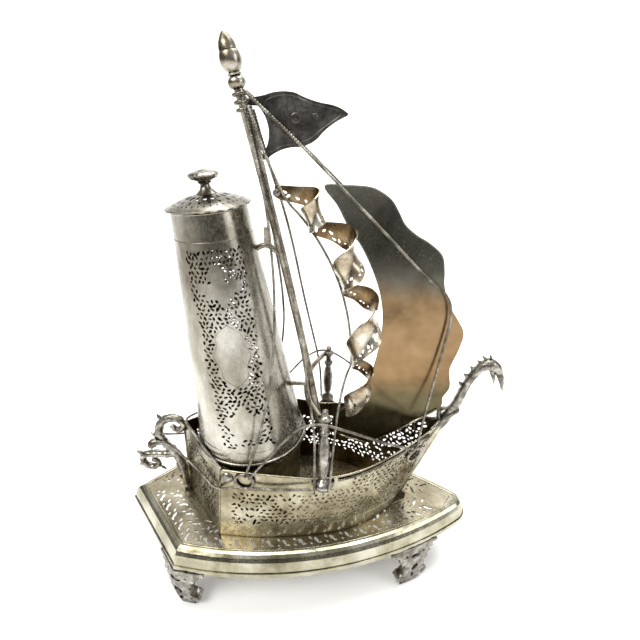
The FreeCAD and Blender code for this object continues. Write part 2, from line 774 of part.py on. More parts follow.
def towerWallStation(height):
    """Station of the tower wall's forward line at a height."""
    share = (height - towerFoot.z) / (towerTop.z - towerFoot.z)
    centre = towerFoot.x + (towerTop.x - towerFoot.x) * share
    return centre + size("towerFootRadius") + (size("towerTopRadius") - size("towerFootRadius")) * share


# ---------------------------------------------------------------- flag, sail and festoon

def buildFlag():
    """Swallow-edged pennant of flat sheet on the mast."""
    mastEdge = size("mastRadius") + 0.3
    headEdge = mastAt(379.5)[0].x + mastEdge
    footEdge = mastAt(347.5)[0].x + mastEdge
    points = [(headEdge, 380.4), (131.0, 382.4), ((140.0, 384.6), (149.0, 384.2)), ((158.0, 380.9), (168.0, 379.0)),
              ((174.4, 377.4), (179.8, 374.4)), (179.4, 373.2), ((172.4, 369.4), (165.0, 363.6)),
              ((157.6, 357.2), (149.0, 355.0)), ((139.6, 352.8), (131.0, 347.2)), (footEdge, 347.2),
              (footEdge - 0.6, 350.0), (129.6, 351.4), ((132.8, 363.8), (127.0, 376.6)), (headEdge + 0.5, 376.6)]
    body = newBody("flag", Placement())
    pad(body, "FlagPad", addSketch(body, "FlagOutline", "XZ_Plane", outline(points)), "sheetWall", True)


sailEdge = [(167.0, 333.0), ((176.0, 334.4), (193.0, 332.0)), ((207.0, 325.0), (221.0, 308.0)),
            ((231.0, 299.0), (247.0, 288.5)), ((252.0, 273.0), (255.5, 257.0)), ((265.0, 243.0), (269.6, 231.0)),
            ((266.5, 214.0), (265.4, 196.0)), ((265.6, 188.0), (267.0, 180.5)), (260.0, 169.0),
            (214.0, 130.6), (206.0, 126.0), (182.0, 134.0), (176.0, 159.0), ((204.0, 184.0), (212.0, 229.0)),
            ((204.0, 272.0), (174.0, 323.0))]


def buildSail():
    """Fore-and-aft sail of sheet, bellied to starboard, with a scalloped after edge."""
    radius = size("sailBelly")
    wall = size("sheetWall")
    centre = Vector(222.0, radius - 12.0, 232.0)
    shell = Part.makeSphere(radius + wall / 2, centre).cut(Part.makeSphere(radius - wall / 2, centre))
    blank = prism(sailEdge, 60.0, -30.0)
    feature("sail", shell.common(blank))


def buildFestoon():
    """Scalloped strip standing off the stay, four waves between its ties."""
    wall = size("sheetWall")
    ties = [(137.5, 329.0), (159.5, 308.0), (182.5, 266.0), (192.0, 212.0), (190.0, 172.0)]
    bulge = [(163.0, 328.0), (186.5, 301.0), (203.0, 256.0), (206.0, 208.0)]
    solids = []
    near = [-11.0, -12.0, -14.0, -24.0]
    width = size("festoonWidth")
    widths = [width, width, width, width - 4.6]
    for start, out, end, edge, across in zip(ties, bulge, ties[1:], near, widths):
        ends = [Vector(x, 0, z) for x, z in (start, out, end)]
        arc = Part.Arc(*ends)
        circle = arc.toShape().Curve
        share = 1 - wall / circle.Radius
        inner = Part.Arc(*[circle.Center.add(point.sub(circle.Center) * share) for point in ends])
        caps = [Part.LineSegment(arc.EndPoint, inner.EndPoint), Part.LineSegment(inner.StartPoint, arc.StartPoint)]
        face = Part.Face(Part.Wire([arc.toShape(), caps[0].toShape(), inner.toShape(), caps[1].toShape()]))
        face.translate(Vector(0, edge, 0))
        solids.append(face.extrude(Vector(0, across, 0)))
    strip = solids[0].fuse(solids[1:])
    feature("festoon", fitted(strip, built("festoon_stay")))
    knots = [Part.makeCylinder(2.2, 4.2, Vector(x, -8.2, z), Vector(0, 1, 0)) for x, z in ties[:4]]
    knots = [fittedPiece(knot, built("festoon"), built("festoon_stay")) for knot in knots]
    feature("festoon_ties", Part.makeCompound(knots))


# ---------------------------------------------------------------- rings, bosses and ropes

sternRing = (115.0, 50.6, 129.0)
bowRing = (243.0, 21.0, 131.5)


def hullNormal(station, height, side):
    """Way out of the hull's side at a station and height."""
    step = 1.0
    along = (hullHalf(station + step, height) - hullHalf(station - step, height)) / (2 * step)
    flare = (hullHalf(station, height + step) - hullHalf(station, height - step)) / (2 * step)
    return Vector(-along, side, -flare).normalize()


def buildRings():
    wire = size("ringWire")
    radius = size("ringRadius")
    for name, side in sides.items():
        hull = built(f"hull_side_{name}")
        for label, (x, y, z) in (("stern_ring", sternRing), ("bow_ring", bowRing)):
            away = hullNormal(x, z, side)
            centre = Vector(x, side * hullHalf(x, z), z).add(away * (wire + 0.3))
            feature(f"{label}_{name}", fitted(Part.makeTorus(radius, wire, centre, away), hull))
        station = size("bossStation")
        height = deck + 62.0
        away = hullNormal(station, height, side)
        centre = Vector(station, side * hullHalf(station, height), height).sub(away * 0.6)
        boss = size("bossRadius")
        depth = size("bossDepth")
        profile = [(0.0, 0.0), (boss, 0.0), (boss, 0.8), ((boss * 0.7, depth - 0.4), (0.6, depth)), (0.0, depth)]
        button = turned(profile, Placement(centre, Rotation(Vector(0, 0, 1), away)))
        button = max(fitted(button, hull).Solids, key=lambda solid: abs(solid.CenterOfMass.y))
        feature(f"boss_{name}", button)


def buildRopes():
    radius = size("ropeRadius")
    sideRopes = {
        "quarter_stay": [(119.0, 5.0, 381.0), (125.0, 6.2, 352.0), (130.5, 6.6, 324.0), (133.0, 7.4, 296.0), (135.5, 14.0, 272.0),
                         (136.5, 22.0, 248.0), (136.0, 31.0, 222.0), (132.0, 40.0, 192.0), (125.0, 48.0, 160.0),
                         (116.0, 51.8, 136.0)],
        "guard_rope": [(119.0, 52.0, 135.0), (141.0, 50.8, 165.0), (154.0, 49.4, 181.0), (168.5, 50.6, 187.0),
                       (184.0, 48.4, 180.5), (204.0, 41.6, 168.0), (224.0, 32.0, 153.0), (241.0, 23.6, 143.0)],
        "waist_line": [(121.0, 51.0, 125.0), (136.0, 50.6, 123.4), (151.0, 50.4, 124.4), (163.4, 50.2, 124.6)],
        "forestay": [(120.0, 4.6, 384.0), (137.0, 3.0, 370.0), (153.0, 3.4, 356.0), (179.0, 6.0, 332.0), (207.0, 12.0, 307.0),
                     (236.0, 14.6, 279.0), (252.0, 15.6, 268.0), (256.0, 15.0, 252.0), (253.0, 15.4, 226.0),
                     (250.0, 17.4, 198.0), (246.0, 20.0, 170.0), (243.6, 22.6, 144.0)],
    }
    shrouds = {
        "starboard": [(123.5, 2.8, 374.5), (131.0, 4.2, 336.0), (140.0, 7.4, 299.0), (147.0, 9.4, 263.0), (155.0, 20.0, 223.0),
                      (161.4, 36.0, 194.0), (165.8, 47.6, 174.0), (166.4, 54.6, 151.0), (166.4, 57.0, 131.0)],
        "port": [(123.5, 3.6, 374.5), (131.0, 4.4, 346.0), (139.6, 9.0, 318.0), (146.0, 16.4, 286.0), (151.0, 26.0, 252.0),
                 (157.6, 37.0, 214.0), (164.0, 47.4, 178.0), (166.0, 54.4, 152.0), (166.4, 57.0, 131.0)],
    }
    for name, side in sides.items():
        for label, points in sideRopes.items():
            rope = tube(mirrored(points, side), radius, f"{label}_{name}")
            feature(f"{label}_{name}", fittedPiece(rope, built(f"stern_ring_{name}")))
        feature(f"shroud_{name}", tube(mirrored(shrouds[name], side), radius, f"shroud_{name}"))
    half = [(107.0, 51.6, 126.0), (94.4, 49.6, 118.0), (78.0, 31.0, 116.0), (58.0, 14.6, 118.0), (40.0, 5.6, 122.6),
            (30.2, 4.4, 124.6)]
    route = mirrored(half, -1) + list(reversed(half))
    feature("stern_line", tube(route, radius, "stern_line"))
    half = [(97.4, 46.4, 138.6), (83.0, 30.6, 140.4), (69.0, 15.0, 142.8), (58.6, 3.4, 144.4)]
    route = mirrored(half, -1) + list(reversed(half))
    feature("corner_line", tube(route, radius, "corner_line"))
    half = [(247.0, 20.4, 142.0), (257.0, 12.8, 151.0), (268.4, 5.4, 161.4), (278.0, 4.2, 165.4)]
    route = mirrored(half, -1) + list(reversed(half))
    feature("bow_line", tube(route, radius, "bow_line"))
    route = [(122.2, -5.6, 376.5), (137.0, -6.2, 330.0), (159.0, -6.0, 309.0), (182.0, -6.0, 267.0), (191.5, -7.0, 212.0),
             (186.0, -15.0, 202.0), (182.0, -29.0, 188.0), (179.6, -43.0, 172.0), (178.4, -53.0, 153.0), (177.2, -58.6, 132.6)]
    feature("festoon_stay", tube(route, radius, "festoon_stay"))


# ---------------------------------------------------------------- build, check and write

buildTray()
sternFoot = size("trayShoulderStation") + size("sternFootSetback")
bowFoot = size("trayLength") - size("bowFootSetback")
for sideName, sideSign in sides.items():
    buildFoot(f"foot_stern_{sideName}", sternFoot, size("sternFootInset"), sideSign, 24)
    buildFoot(f"foot_bow_{sideName}", bowFoot, size("bowFootInset"), sideSign, -28)
shift = Vector(-middle, 0, plateTop - deck)     # the ship stands on the tray
buildHull()
buildGunwaleRopes()
buildProwBird()
buildSternScroll()
buildTower()
buildLid()
buildCup()
buildMastStep()
buildMast()
buildPosts()
buildBrackets()
buildFlag()
buildSail()
buildRings()
buildRopes()
buildFestoon()
buildLashing()
doc.recompute()

for item in doc.Objects:
    if "Invalid" in item.State or "Error" in item.State:
        raise RuntimeError(f"{item.Label} did not build: {item.State}")
for item in nodes:
    if item.Shape.isNull() or not item.Shape.isValid() or not item.Shape.Solids:
        raise RuntimeError(f"{item.Label} has no sound solid")

os.makedirs("parts", exist_ok=True)
whole = Part.makeCompound([item.Shape for item in nodes])
box = whole.BoundBox
print(f"{len(nodes)} nodes, x {box.XMin:.2f} {box.XMax:.2f}, y {box.YMin:.2f} {box.YMax:.2f}, z {box.ZMin:.2f} {box.ZMax:.2f}")
for item in nodes:
    item.Shape.exportStep(f"parts/{item.Label}.step")
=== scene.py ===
import bpy
import bmesh
import math
import random
from mathutils import Matrix, Vector, noise
from mathutils.geometry import delaunay_2d_cdt


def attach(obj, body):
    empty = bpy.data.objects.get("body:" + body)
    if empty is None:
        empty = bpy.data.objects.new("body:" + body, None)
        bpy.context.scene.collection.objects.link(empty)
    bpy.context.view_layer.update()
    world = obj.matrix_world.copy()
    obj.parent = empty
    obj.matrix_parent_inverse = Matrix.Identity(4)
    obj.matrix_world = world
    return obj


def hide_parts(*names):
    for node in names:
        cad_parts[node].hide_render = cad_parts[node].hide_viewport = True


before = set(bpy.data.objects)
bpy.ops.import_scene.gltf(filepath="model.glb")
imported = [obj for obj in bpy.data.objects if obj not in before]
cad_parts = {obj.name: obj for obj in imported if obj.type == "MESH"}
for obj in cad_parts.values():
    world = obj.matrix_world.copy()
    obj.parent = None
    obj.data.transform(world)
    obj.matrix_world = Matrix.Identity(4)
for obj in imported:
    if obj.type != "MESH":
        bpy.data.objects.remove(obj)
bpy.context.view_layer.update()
print("frame loaded,", len(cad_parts), "nodes")

# The ship is measured in millimetres: station from the stern corner of the tray, y to port, height from
# the table.
midShip = 155.0
sides = {"starboard": -1, "port": 1}


def mm(x, y, z):
    return Vector(((x - midShip) / 1000, y / 1000, z / 1000))


# Camera

cameraSet = {
    "place": (176.4, -280.2, 376.3),
    "azimuth": 0.0,
    "pitch": 26.14,
    "roll": 2.23,
    "lens": 24.27,
    "shiftX": -0.02265625,
    "shiftY": 0.00203125,
}


def makeCamera(p):
    data = bpy.data.cameras.new("camera")
    data.sensor_width = 36
    data.lens = p["lens"]
    data.shift_x = p["shiftX"]
    data.shift_y = p["shiftY"]
    data.clip_start = 0.01
    camera = bpy.data.objects.new("camera", data)
    bpy.context.scene.collection.objects.link(camera)
    az, el, roll = (math.radians(p[key]) for key in ("azimuth", "pitch", "roll"))
    back = Vector((math.sin(az) * math.cos(el), -math.cos(az) * math.cos(el), math.sin(el)))
    right = Vector((math.cos(az), math.sin(az), 0))
    up = back.cross(right)
    rolledRight = right * math.cos(roll) + up * math.sin(roll)
    rolledUp = up * math.cos(roll) - right * math.sin(roll)
    turn = Matrix((rolledRight, rolledUp, back)).transposed().to_4x4()
    camera.matrix_world = Matrix.Translation(mm(*p["place"])) @ turn
    bpy.context.scene.camera = camera


makeCamera(cameraSet)

# Metals


def link(tree, a, outName, b, inName):
    tree.links.new(a.outputs[outName], b.inputs[inName])


def ramp(tree, stops):
    node = tree.nodes.new("ShaderNodeValToRGB")
    while len(node.color_ramp.elements) < len(stops):
        node.color_ramp.elements.new(0.5)
    for element, (place, colour) in zip(node.color_ramp.elements, stops):
        element.position = place
        element.color = (*colour, 1)
    return node


def toned(colour, p):
    return tuple(c * p.get("tone", 0.72) for c in colour)


def makeSilver(name, p):
    # dark, mid and light are the tarnish colours; patch, grain and wave are sizes in millimetres.
    material = bpy.data.materials.new(name)
    material.use_nodes = True
    tree = material.node_tree
    shader = tree.nodes["Principled BSDF"]
    shader.inputs["Metallic"].default_value = 1.0
    shader.inputs["Anisotropic"].default_value = p.get("brushed", 0.0)
    where = tree.nodes.new("ShaderNodeTexCoord")
    stretch = tree.nodes.new("ShaderNodeMapping")
    stretch.inputs["Scale"].default_value = p.get("stretch", (1, 1, 1))
    link(tree, where, "Object", stretch, "Vector")
    patches = tree.nodes.new("ShaderNodeTexNoise")
    patches.inputs["Scale"].default_value = 1000 / p["patch"]
    patches.inputs["Detail"].default_value = 4
    patches.inputs["Roughness"].default_value = 0.62
    patches.inputs["Distortion"].default_value = 0.2
    link(tree, stretch, "Vector", patches, "Vector")
    colours = ramp(tree, [(p.get("low", 0.30), toned(p["dark"], p)), (0.50, toned(p["mid"], p)),
                          (p.get("high", 0.68), toned(p["light"], p))])
    link(tree, patches, "Fac", colours, "Fac")
    last = colours.outputs["Color"]
    if p.get("reflectionBands"):
        # painted reflection: broad bands of colour that change with the height
        height = tree.nodes.new("ShaderNodeSeparateXYZ")
        link(tree, where, "Object", height, "Vector")
        wander = tree.nodes.new("ShaderNodeMath")
        wander.operation = "MULTIPLY_ADD"
        link(tree, patches, "Fac", wander, 0)
        wander.inputs[1].default_value = 0.03
        link(tree, height, "Z", wander, 2)
        reach = tree.nodes.new("ShaderNodeMapRange")
        reach.inputs["From Min"].default_value = 0.115
        reach.inputs["From Max"].default_value = 0.365
        link(tree, wander, "Value", reach, "Value")
        paintedReflection = ramp(tree, p["reflectionBands"])
        link(tree, reach, "Result", paintedReflection, "Fac")
        tint = tree.nodes.new("ShaderNodeMix")
        tint.data_type = "RGBA"
        tint.blend_type = "MULTIPLY"
        tint.inputs[0].default_value = 1.0
        tree.links.new(last, tint.inputs[6])
        link(tree, paintedReflection, "Color", tint, 7)
        last = tint.outputs[2]
    if p.get("hollow"):
        # tarnish gathers where the metal is shut in
        shade = tree.nodes.new("ShaderNodeAmbientOcclusion")
        shade.samples = 6
        shade.inputs["Distance"].default_value = p["hollow"] / 1000
        depth = ramp(tree, [(0.25, (0, 0, 0)), (0.85, (1, 1, 1))])
        link(tree, shade, "AO", depth, "Fac")
        blend = tree.nodes.new("ShaderNodeMix")
        blend.data_type = "RGBA"
        blend.inputs[6].default_value = (*p["soot"], 1)
        link(tree, depth, "Color", blend, 0)
        tree.links.new(last, blend.inputs[7])
        tree.links.new(blend.outputs[2], shader.inputs["Base Color"])
    else:
        tree.links.new(last, shader.inputs["Base Color"])
    grain = tree.nodes.new("ShaderNodeTexNoise")
    grain.inputs["Scale"].default_value = 500 / p["grain"]
    grain.inputs["Detail"].default_value = 2
    link(tree, stretch, "Vector", grain, "Vector")
    spread = tree.nodes.new("ShaderNodeMapRange")
    spread.inputs["To Min"].default_value = p["smooth"]
    spread.inputs["To Max"].default_value = p["rough"]
    spread.inputs["From Min"].default_value = 0.2
    spread.inputs["From Max"].default_value = 0.9
    link(tree, grain, "Fac", spread, "Value")
    link(tree, spread, "Result", shader, "Roughness")
    waves = tree.nodes.new("ShaderNodeTexNoise")
    waves.inputs["Scale"].default_value = 1000 / p["wave"]
    waves.inputs["Detail"].default_value = 2
    link(tree, where, "Object", waves, "Vector")
    hammer = tree.nodes.new("ShaderNodeBump")
    hammer.inputs["Strength"].default_value = p.get("hammer", 0.5)
    hammer.inputs["Distance"].default_value = p.get("hammerDepth", 0.6) / 1000
    link(tree, waves, "Fac", hammer, "Height")
    scratches = tree.nodes.new("ShaderNodeBump")
    scratches.inputs["Strength"].default_value = p.get("scratch", 0.08)
    scratches.inputs["Distance"].default_value = 0.05 / 1000
    link(tree, grain, "Fac", scratches, "Height")
    link(tree, hammer, "Normal", scratches, "Normal")
    link(tree, scratches, "Normal", shader, "Normal")
    return material


metals = {
    "plate": makeSilver("trayPlateSilver", {
        "dark": (0.20, 0.155, 0.085), "mid": (0.50, 0.45, 0.33), "light": (0.74, 0.70, 0.58), "patch": 42,
        "grain": 0.7, "wave": 26,
        "smooth": 0.16, "rough": 0.36, "low": 0.26, "hollow": 2.5, "soot": (0.10, 0.075, 0.04),
        "hammerDepth": 0.8}),
    "moulding": makeSilver("mouldingSilver", {
        "dark": (0.17, 0.145, 0.09), "mid": (0.46, 0.43, 0.31), "light": (0.70, 0.67, 0.55), "patch": 30,
        "grain": 0.6, "wave": 22,
        "smooth": 0.12, "rough": 0.34, "hollow": 3.0, "soot": (0.10, 0.08, 0.05), "hammerDepth": 0.9}),
    "hull": makeSilver("hullSilver", {
        "dark": (0.15, 0.115, 0.06), "mid": (0.42, 0.37, 0.25), "light": (0.68, 0.63, 0.48), "patch": 26,
        "grain": 0.7, "wave": 16,
        "smooth": 0.16, "rough": 0.40, "hollow": 3.0, "soot": (0.07, 0.05, 0.028), "hammerDepth": 0.7}),
    "tower": makeSilver("towerSilver", {
        "dark": (0.16, 0.135, 0.10), "mid": (0.40, 0.375, 0.31), "light": (0.70, 0.67, 0.60), "patch": 32,
        "grain": 0.6, "wave": 20,
        "smooth": 0.15, "rough": 0.38, "stretch": (1, 1, 0.5), "hollow": 2.5, "soot": (0.06, 0.045, 0.03),
        "hammerDepth": 0.8}),
    "seat": makeSilver("seatSilver", {
        "dark": (0.08, 0.06, 0.03), "mid": (0.22, 0.18, 0.09), "light": (0.42, 0.36, 0.20), "patch": 16,
        "grain": 0.8, "wave": 14,
        "smooth": 0.25, "rough": 0.5}),
    "sail": makeSilver("sailSilver", {
        "dark": (0.46, 0.44, 0.42), "mid": (0.80, 0.78, 0.75), "light": (1.0, 1.0, 1.0), "patch": 34,
        "grain": 0.6, "wave": 44,
        "smooth": 0.16, "rough": 0.32, "hammerDepth": 1.1, "tone": 0.95,
        # painted reflection on the sail: dark at the foot, brown in the middle, grey at the top
        "reflectionBands": [(0.0, (0.09, 0.075, 0.045)), (0.33, (0.13, 0.11, 0.06)), (0.41, (0.27, 0.175, 0.09)),
        (0.64, (0.31, 0.21, 0.115)),
                  (0.71, (0.22, 0.215, 0.18)), (1.0, (0.33, 0.33, 0.28))]}),
    "festoon": makeSilver("festoonSilver", {
        "dark": (0.20, 0.14, 0.08), "mid": (0.50, 0.43, 0.32), "light": (0.84, 0.82, 0.74), "tone": 0.85,
        "patch": 18, "grain": 0.5, "wave": 12,
        "smooth": 0.16, "rough": 0.38, "hollow": 5.0, "soot": (0.10, 0.065, 0.03)}),
    "flag": makeSilver("flagSilver", {
        "dark": (0.055, 0.052, 0.048), "mid": (0.13, 0.122, 0.112), "light": (0.27, 0.26, 0.24),
        "patch": 12, "grain": 0.6, "wave": 10,
        "smooth": 0.22, "rough": 0.5}),
    "mast": makeSilver("mastSilver", {
        "dark": (0.10, 0.08, 0.05), "mid": (0.33, 0.29, 0.22), "light": (0.62, 0.58, 0.50), "patch": 14,
        "grain": 0.5, "wave": 9,
        "smooth": 0.18, "rough": 0.42}),
    "cast": makeSilver("castSilver", {
        "dark": (0.08, 0.068, 0.05), "mid": (0.28, 0.26, 0.22), "light": (0.60, 0.58, 0.52), "patch": 7,
        "grain": 0.5, "wave": 3.0,
        "smooth": 0.20, "rough": 0.45, "hollow": 2.5, "soot": (0.025, 0.02, 0.015), "hammerDepth": 0.5}),
    "wire": makeSilver("wireSilver", {
        "dark": (0.08, 0.068, 0.05), "mid": (0.28, 0.255, 0.21), "light": (0.62, 0.59, 0.52), "patch": 9,
        "grain": 0.4, "wave": 4,
        "smooth": 0.22, "rough": 0.42, "hollow": 1.3, "soot": (0.015, 0.011, 0.007)}),
    "lid": makeSilver("lidSilver", {
        "dark": (0.10, 0.085, 0.06), "mid": (0.34, 0.31, 0.25), "light": (0.62, 0.59, 0.52), "patch": 14,
        "grain": 0.5, "wave": 9,
        "smooth": 0.18, "rough": 0.4, "hollow": 2.0, "soot": (0.03, 0.022, 0.014), "tone": 0.6}),
}

castNodes = {
    "tray_moulding": "moulding", "tray_edge_strip": "moulding", "hull_floor": "hull", "stem_post": "hull",
    "tower_rim": "tower",
    "tower_seat": "seat", "lid_collar": "lid", "lid_dome": "lid", "incense_cup": "cast", "mast": "mast",
    "mast_step": "cast", "crosstree": "mast",
    "upper_bracket": "mast", "flag": "flag", "head_lashing": "wire", "festoon_ties": "wire",
    "finial": "mast", "lid_knob": "lid",
}
print("metals made")

# Mesh helpers


def addMesh(name, verts, faces, metal, body="ship", nodes=(), slot=None, smooth=True):
    mesh = bpy.data.meshes.new(name)
    mesh.from_pydata([tuple(v) for v in verts], [], faces)
    work = bmesh.new()
    work.from_mesh(mesh)
    bmesh.ops.recalc_face_normals(work, faces=work.faces)
    work.to_mesh(mesh)
    work.free()
    for polygon in mesh.polygons:
        polygon.use_smooth = smooth
    mesh.materials.append(metals[metal])
    piece = bpy.data.objects.new(name, mesh)
    bpy.context.scene.collection.objects.link(piece)
    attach(piece, body)
    if nodes:
        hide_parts(*nodes)
    return piece


def applyAll(piece):
    # Bakes the piece's modifiers into its mesh.
    bpy.context.view_layer.update()
    graph = bpy.context.evaluated_depsgraph_get()
    mesh = bpy.data.meshes.new_from_object(piece.evaluated_get(graph))
    piece.modifiers.clear()
    piece.data = mesh


def edgeSplit(piece, angle=35):
    split = piece.modifiers.new("edges", "EDGE_SPLIT")
    split.split_angle = math.radians(angle)


def inside(point, loop):
    x, y = point
    hit = False
    for (x0, y0), (x1, y1) in zip(loop, loop[1:] + loop[:1]):
        if (y0 > y) != (y1 > y) and x < (x1 - x0) * (y - y0) / (y1 - y0) + x0:
            hit = not hit
    return hit


def distanceToLoop(point, loop):
    best = 1e9
    px, py = point
    for (x0, y0), (x1, y1) in zip(loop, loop[1:] + loop[:1]):
        dx, dy = x1 - x0, y1 - y0
        length = dx * dx + dy * dy
        t = 0 if length == 0 else max(0, min(1, ((px - x0) * dx + (py - y0) * dy) / length))
        best = min(best, math.hypot(px - x0 - t * dx, py - y0 - t * dy))
    return best


def divided(loop, step):
    # The loop with points no further apart than step.
    out = []
    for (x0, y0), (x1, y1) in zip(loop, loop[1:] + loop[:1]):
        count = max(1, math.ceil(math.hypot(x1 - x0, y1 - y0) / step))
        out += [(x0 + (x1 - x0) * i / count, y0 + (y1 - y0) * i / count) for i in range(count)]
    return out


def sheetMesh(outline, holes, step):
    # Flat triangles inside the outline and outside the holes: points and faces.
    outline = divided(outline, step)
    points = list(outline)
    edges = [(i, (i + 1) % len(outline)) for i in range(len(outline))]
    for hole in holes:
        start = len(points)
        points += hole
        edges += [(start + i, start + (i + 1) % len(hole)) for i in range(len(hole))]
    xs = [p[0] for p in outline]
    ys = [p[1] for p in outline]
    row = 0
    y = min(ys) + step / 2
    while y < max(ys):
        x = min(xs) + (step / 2 if row % 2 else step * 0.9)
        while x < max(xs):
            spot = (x, y)
            if inside(spot, outline) and distanceToLoop(spot, outline) > step * 0.4:
                near = [hole for hole in holes if abs(hole[0][0] - x) < 12 and abs(hole[0][1] - y) < 12]
                if all(not inside(spot, hole) and distanceToLoop(spot,
                        hole) > step * 0.25 for hole in near):
                    points.append(spot)
            x += step
        y += step * 0.87
        row += 1
    found = delaunay_2d_cdt([Vector(p) for p in points], edges, [], 0, 1e-6)
    flat, faces = found[0], found[2]
    keep = []
    for face in faces:
        centre = (sum(flat[i].x for i in face) / 3, sum(flat[i].y for i in face) / 3)
        if not inside(centre, outline):
            continue
        near = [hole for hole in holes if abs(hole[0][0] - centre[0]) < 12
            and abs(hole[0][1] - centre[1]) < 12]
        if any(inside(centre, hole) for hole in near):
            continue
        keep.append(tuple(face))
    return [(v.x, v.y) for v in flat], keep


def piercedSheet(name, outline, holes, place, thickness, step, metal, offset=0.0, **extra):
    flat, faces = sheetMesh(outline, holes, step)
    piece = addMesh(name, [place(u, v) for u, v in flat], faces, metal, **extra)
    solid = piece.modifiers.new("thickness", "SOLIDIFY")
    solid.thickness = thickness / 1000
    solid.offset = offset
    edgeSplit(piece, 50)
    print(name, len(faces), "faces,", len(holes), "holes")
    return piece


# Pierced patterns


def drop(x, y, length, width, angle):
    # Drop-shaped hole: point at the tail, round at the head.
    shape = [(-0.55, 0), (-0.1, 0.34), (0.25, 0.46), (0.5, 0.28), (0.58, 0), (0.5, -0.28), (0.25, -0.46),
        (-0.1, -0.34)]
    c, s = math.cos(angle), math.sin(angle)
    return [(x + (px * length) * c - (py * width) * s, y + (px * length) * s + (py * width) * c) for px,
        py in shape]


def leafHole(x, y, length, width, angle):
    shape = [(-0.5, 0), (-0.22, 0.36), (0.1, 0.42), (0.5, 0), (0.1, -0.42), (-0.22, -0.36)]
    c, s = math.cos(angle), math.sin(angle)
    return [(x + (px * length) * c - (py * width) * s, y + (px * length) * s + (py * width) * c) for px,
        py in shape]


def fieldOfHoles(rng, allowed, low, high, pitch, size):
    # Small drops and triangles scattered evenly, turned every way, wherever allowed says.
    holes = []
    centres = []
    y = low[1]
    row = 0
    while y < high[1]:
        x = low[0] + (pitch / 2 if row % 2 else 0)
        while x < high[0]:
            cx = x + rng.uniform(-0.16, 0.16) * pitch
            cy = y + rng.uniform(-0.16, 0.16) * pitch
            if allowed(cx, cy):
                angle = rng.choice((0.5, 1.1, 2.0, 2.6, 3.7, 4.2, 5.2, 5.8)) + rng.uniform(-0.3, 0.3)
                length = size * rng.uniform(0.85, 1.2)
                maker = drop if rng.random() < 0.6 else leafHole
                holes.append(maker(cx, cy, length, length * rng.uniform(0.55, 0.75), angle))
                centres.append((cx, cy))
            x += pitch
        y += pitch * 0.87
        row += 1
    return holes


def rosette(x, y, radius, petals, size, turn=0.0):
    holes = []
    for i in range(petals):
        angle = turn + math.tau * i / petals
        holes.append(leafHole(x + radius * math.cos(angle), y + radius * math.sin(angle), size, size * 0.55,
            angle))
    return holes


# Tray

traySize = {
    "length": 300.0, "shoulder": (58.5, 65.5), "halfWidth": 70.2, "tipRadius": 15.0, "plateTop": 68.0,
    "inset": 9.0,
    "bandOuter": 12.0, "bandInner": 31.0, "sheet": 0.9,
}


def traySide(p):
    halfWidth, tip = p["halfWidth"], p["tipRadius"]
    fall = halfWidth - p["shoulder"][1]
    low, high = halfWidth, 40 * halfWidth
    for _ in range(60):
        radius = (low + high) / 2
        reach = math.sqrt(fall * (2 * radius - fall)) + math.sqrt((halfWidth - tip)
            * (2 * radius - tip - halfWidth))
        if p["shoulder"][0] + reach > p["length"] - tip:
            high = radius
        else:
            low = radius
    return p["shoulder"][0] + math.sqrt(fall * (2 * radius - fall)), halfWidth - radius, radius


def trayHalf(p, inset, count=26):
    # Half outline of the tray moved inwards, from the stern corner to the tip.
    stationC, centreY, sideRadius = traySide(p)
    run = math.hypot(*p["shoulder"])
    ax, ay = p["shoulder"][0] / run, p["shoulder"][1] / run
    corner = inset / ay
    radius = sideRadius - inset
    tx, ty = stationC - corner, centreY
    along = tx * ax + ty * ay
    reach = along + math.sqrt(radius ** 2 - (tx * tx + ty * ty - along ** 2))
    shoulder = (corner + ax * reach, ay * reach)
    tipC = p["length"] - p["tipRadius"]
    end = math.atan2(-centreY, tipC - stationC)
    start = math.atan2(shoulder[1] - centreY, shoulder[0] - stationC)
    points = [(corner, 0.0)]
    points += [(corner + ax * reach * i / 8, ay * reach * i / 8) for i in range(1, 9)]
    points += [(stationC + radius * math.cos(start + (end - start) * i / count),
                centreY + radius * math.sin(start + (end - start) * i / count)) for i in range(1,
                count + 1)]
    tip = max(p["tipRadius"] - inset, 0.4)
    points += [(tipC + tip * math.cos(end * (1 - i / 5)),
        tip * math.sin(end * (1 - i / 5))) for i in range(1, 6)]
    return points


def wholeLoop(half):
    return half + [(x, -y) for x, y in reversed(half[1:-1])]


